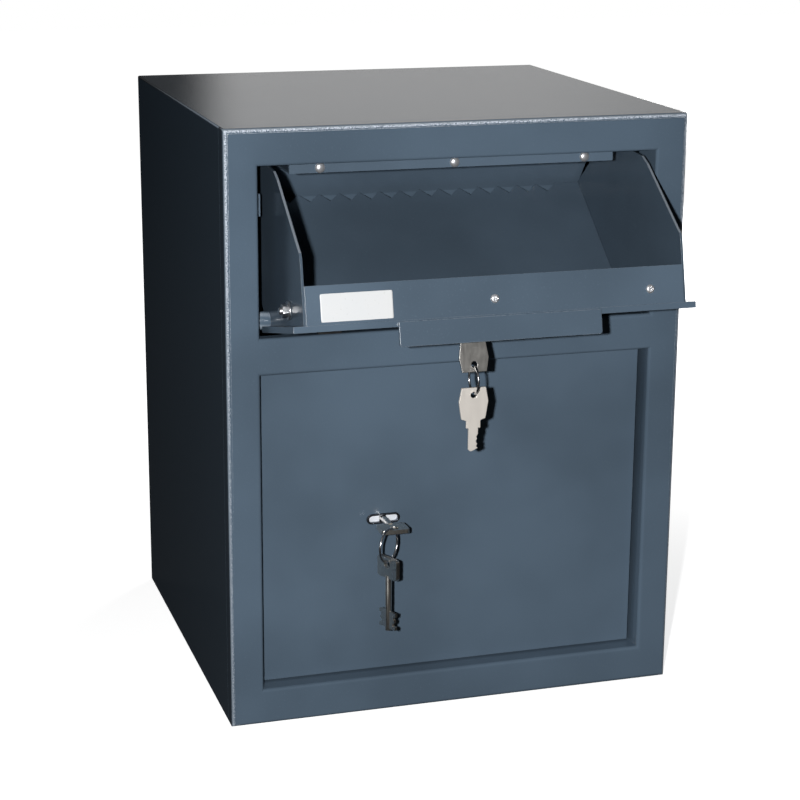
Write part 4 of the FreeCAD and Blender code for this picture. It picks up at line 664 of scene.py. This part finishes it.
def make_keyhole_shutter():
    """Bright sheet inside the keyhole, either side of the key's shaft: half a stadium each, as a height that
    falls along a circle at its end."""
    grids = []
    for side in (-1, 1):
        x = np.linspace(2.9, 12.5, 25)
        half = 2.85 * np.sqrt(np.clip(1 - (np.clip(x - 9.7, 0, None) / 2.85) ** 2, 0.0004, 1))
        across, share = np.meshgrid(x, np.linspace(-1, 1, 9))
        up = share * half
        layers = []
        for y in (2.0, 2.4):
            layers.append(np.stack([side * across - 60.3, np.full_like(across, y - 168.0), up + 166.25], -1) / 1000)
        front, back = layers
        loops = []
        for layer in layers:
            loops.append(np.concatenate([layer[0, :-1], layer[:-1, -1], layer[-1, :0:-1], layer[:0:-1, 0]]))
        grids += [(front, False), (back, False), (np.stack(loops), True)]
    surface_piece("keyhole_shutter", grids, "lock_chrome", "door", smooth=False).data.materials[0] = SHUTTER


# ---------------------------------------------------------------- stage, lights and camera


def make_stage():
    """White floor that keeps the object's shadow, and a white world."""
    size = 6.0
    mesh = bpy.data.meshes.new("floor")
    mesh.from_pydata([(-size, -size, 0), (size, -size, 0), (size, size, 0), (-size, size, 0)], [], [(0, 1, 2, 3)])
    floor = bpy.data.objects.new("floor", mesh)
    scene.collection.objects.link(floor)
    floor.location.z = -0.0004
    material = bpy.data.materials.new("white floor")
    material.use_nodes = True
    w = Wiring(material.node_tree)
    w.nodes.remove(w.nodes["Principled BSDF"])
    place = w.nodes.new("ShaderNodeTexCoord").outputs["Object"]
    reach = w.nodes.new("ShaderNodeVectorMath")
    reach.operation = "LENGTH"
    w.links.new(place, reach.inputs[0])
    glow = w.nodes.new("ShaderNodeEmission")
    w.links.new(w.spread(reach.outputs["Value"], 0.25, 0.75, 0.72, 1.0), glow.inputs["Strength"])
    paper = w.nodes.new("ShaderNodeBsdfDiffuse")
    paper.inputs["Color"].default_value = (0.8, 0.8, 0.8, 1)
    dim = w.nodes.new("ShaderNodeBsdfDiffuse")
    dim.inputs["Color"].default_value = (0.03, 0.03, 0.03, 1)
    both = w.nodes.new("ShaderNodeAddShader")
    w.links.new(glow.outputs[0], both.inputs[0])
    w.links.new(paper.outputs[0], both.inputs[1])
    pick = w.nodes.new("ShaderNodeMixShader")
    w.links.new(w.nodes.new("ShaderNodeLightPath").outputs["Is Camera Ray"], pick.inputs[0])
    w.links.new(dim.outputs[0], pick.inputs[1])
    w.links.new(both.outputs[0], pick.inputs[2])
    w.links.new(pick.outputs[0], w.nodes["Material Output"].inputs["Surface"])
    mesh.materials.append(material)

    world = scene.world or bpy.data.worlds.new("world")
    scene.world = world
    world.use_nodes = True
    w = Wiring(world.node_tree)
    sky = w.nodes["Background"]
    sky.inputs["Color"].default_value = (1, 1, 1, 1)
    ray = w.nodes.new("ShaderNodeLightPath").outputs
    way = w.nodes.new("ShaderNodeSeparateXYZ")
    w.links.new(w.nodes.new("ShaderNodeTexCoord").outputs["Generated"], way.inputs[0])
    low = w.spread(way.outputs[2], 0.0, 0.05)
    behind = w.spread(way.outputs[1], 0.1, 0.3)
    aside = w.math("DIVIDE", way.outputs[0], w.math("MAXIMUM", way.outputs[1], 0.05))
    left, right = w.spread(aside, 0.195, 0.225), w.spread(aside, 0.36, 0.62, 1.0, 0.35)
    wall = w.math("MULTIPLY", w.math("MULTIPLY", left, right), w.math("MULTIPLY", low, behind))
    room = w.spread(way.outputs[2], -0.1, 0.6, 0.02, 0.12)
    mirror = w.math("MAXIMUM", ray["Is Glossy Ray"], ray["Is Transmission Ray"])
    bright = w.math("ADD", room, w.math("MULTIPLY", wall, 0.55))
    level = w.math("ADD", w.math("MULTIPLY", mirror, w.math("SUBTRACT", bright, AMBIENT)), AMBIENT)
    seen = w.math("MAXIMUM", ray["Is Camera Ray"], level)
    w.links.new(seen, sky.inputs["Strength"])


AMBIENT = 0.022


def lamp(name, place, target, size, power):
    data = bpy.data.lights.new(name, "AREA")
    data.shape, data.size, data.energy = "DISK", size, power
    light = bpy.data.objects.new(name, data)
    scene.collection.objects.link(light)
    light.location = place
    light.rotation_euler = (Vector(target) - Vector(place)).to_track_quat("-Z", "Y").to_euler()


def make_lights():
    """A small key lamp just left of the lens, and a wide one low behind that only the hidden sides see."""
    lamp("key", (-0.63, -1.715, 0.735), (-0.03, -0.185, 0.27), 0.035, 32.0)
    lamp("rear", (1.5, 1.7, 0.52), (0, 0.1, 0.25), 0.8, 26.0)


def make_camera():
    """The photograph's camera, solved from the case's corners."""
    data = bpy.data.cameras.new("camera")
    data.sensor_width, data.lens = 36.0, 91.947
    data.clip_start = 0.05
    camera = bpy.data.objects.new("camera", data)
    right = Vector((0.955750, -0.294109, 0.006459))
    up = Vector((0.072964, 0.258260, 0.963316))
    back = Vector((-0.284988, -0.920218, 0.268291))
    turn = Matrix((right, up, back)).transposed()
    camera.matrix_world = Matrix.Translation((-0.528385, -1.724285, 0.722040)) @ turn.to_4x4()
    scene.collection.objects.link(camera)
    scene.camera = camera


dress_solids()
make_baffle_rivets()
make_tray_rivets()
make_lip_screws()
make_hopper_nuts()
make_rings()
make_label()
make_keyhole_shutter()
make_stage()
make_lights()
make_camera()
scene.view_settings.view_transform = "Standard"
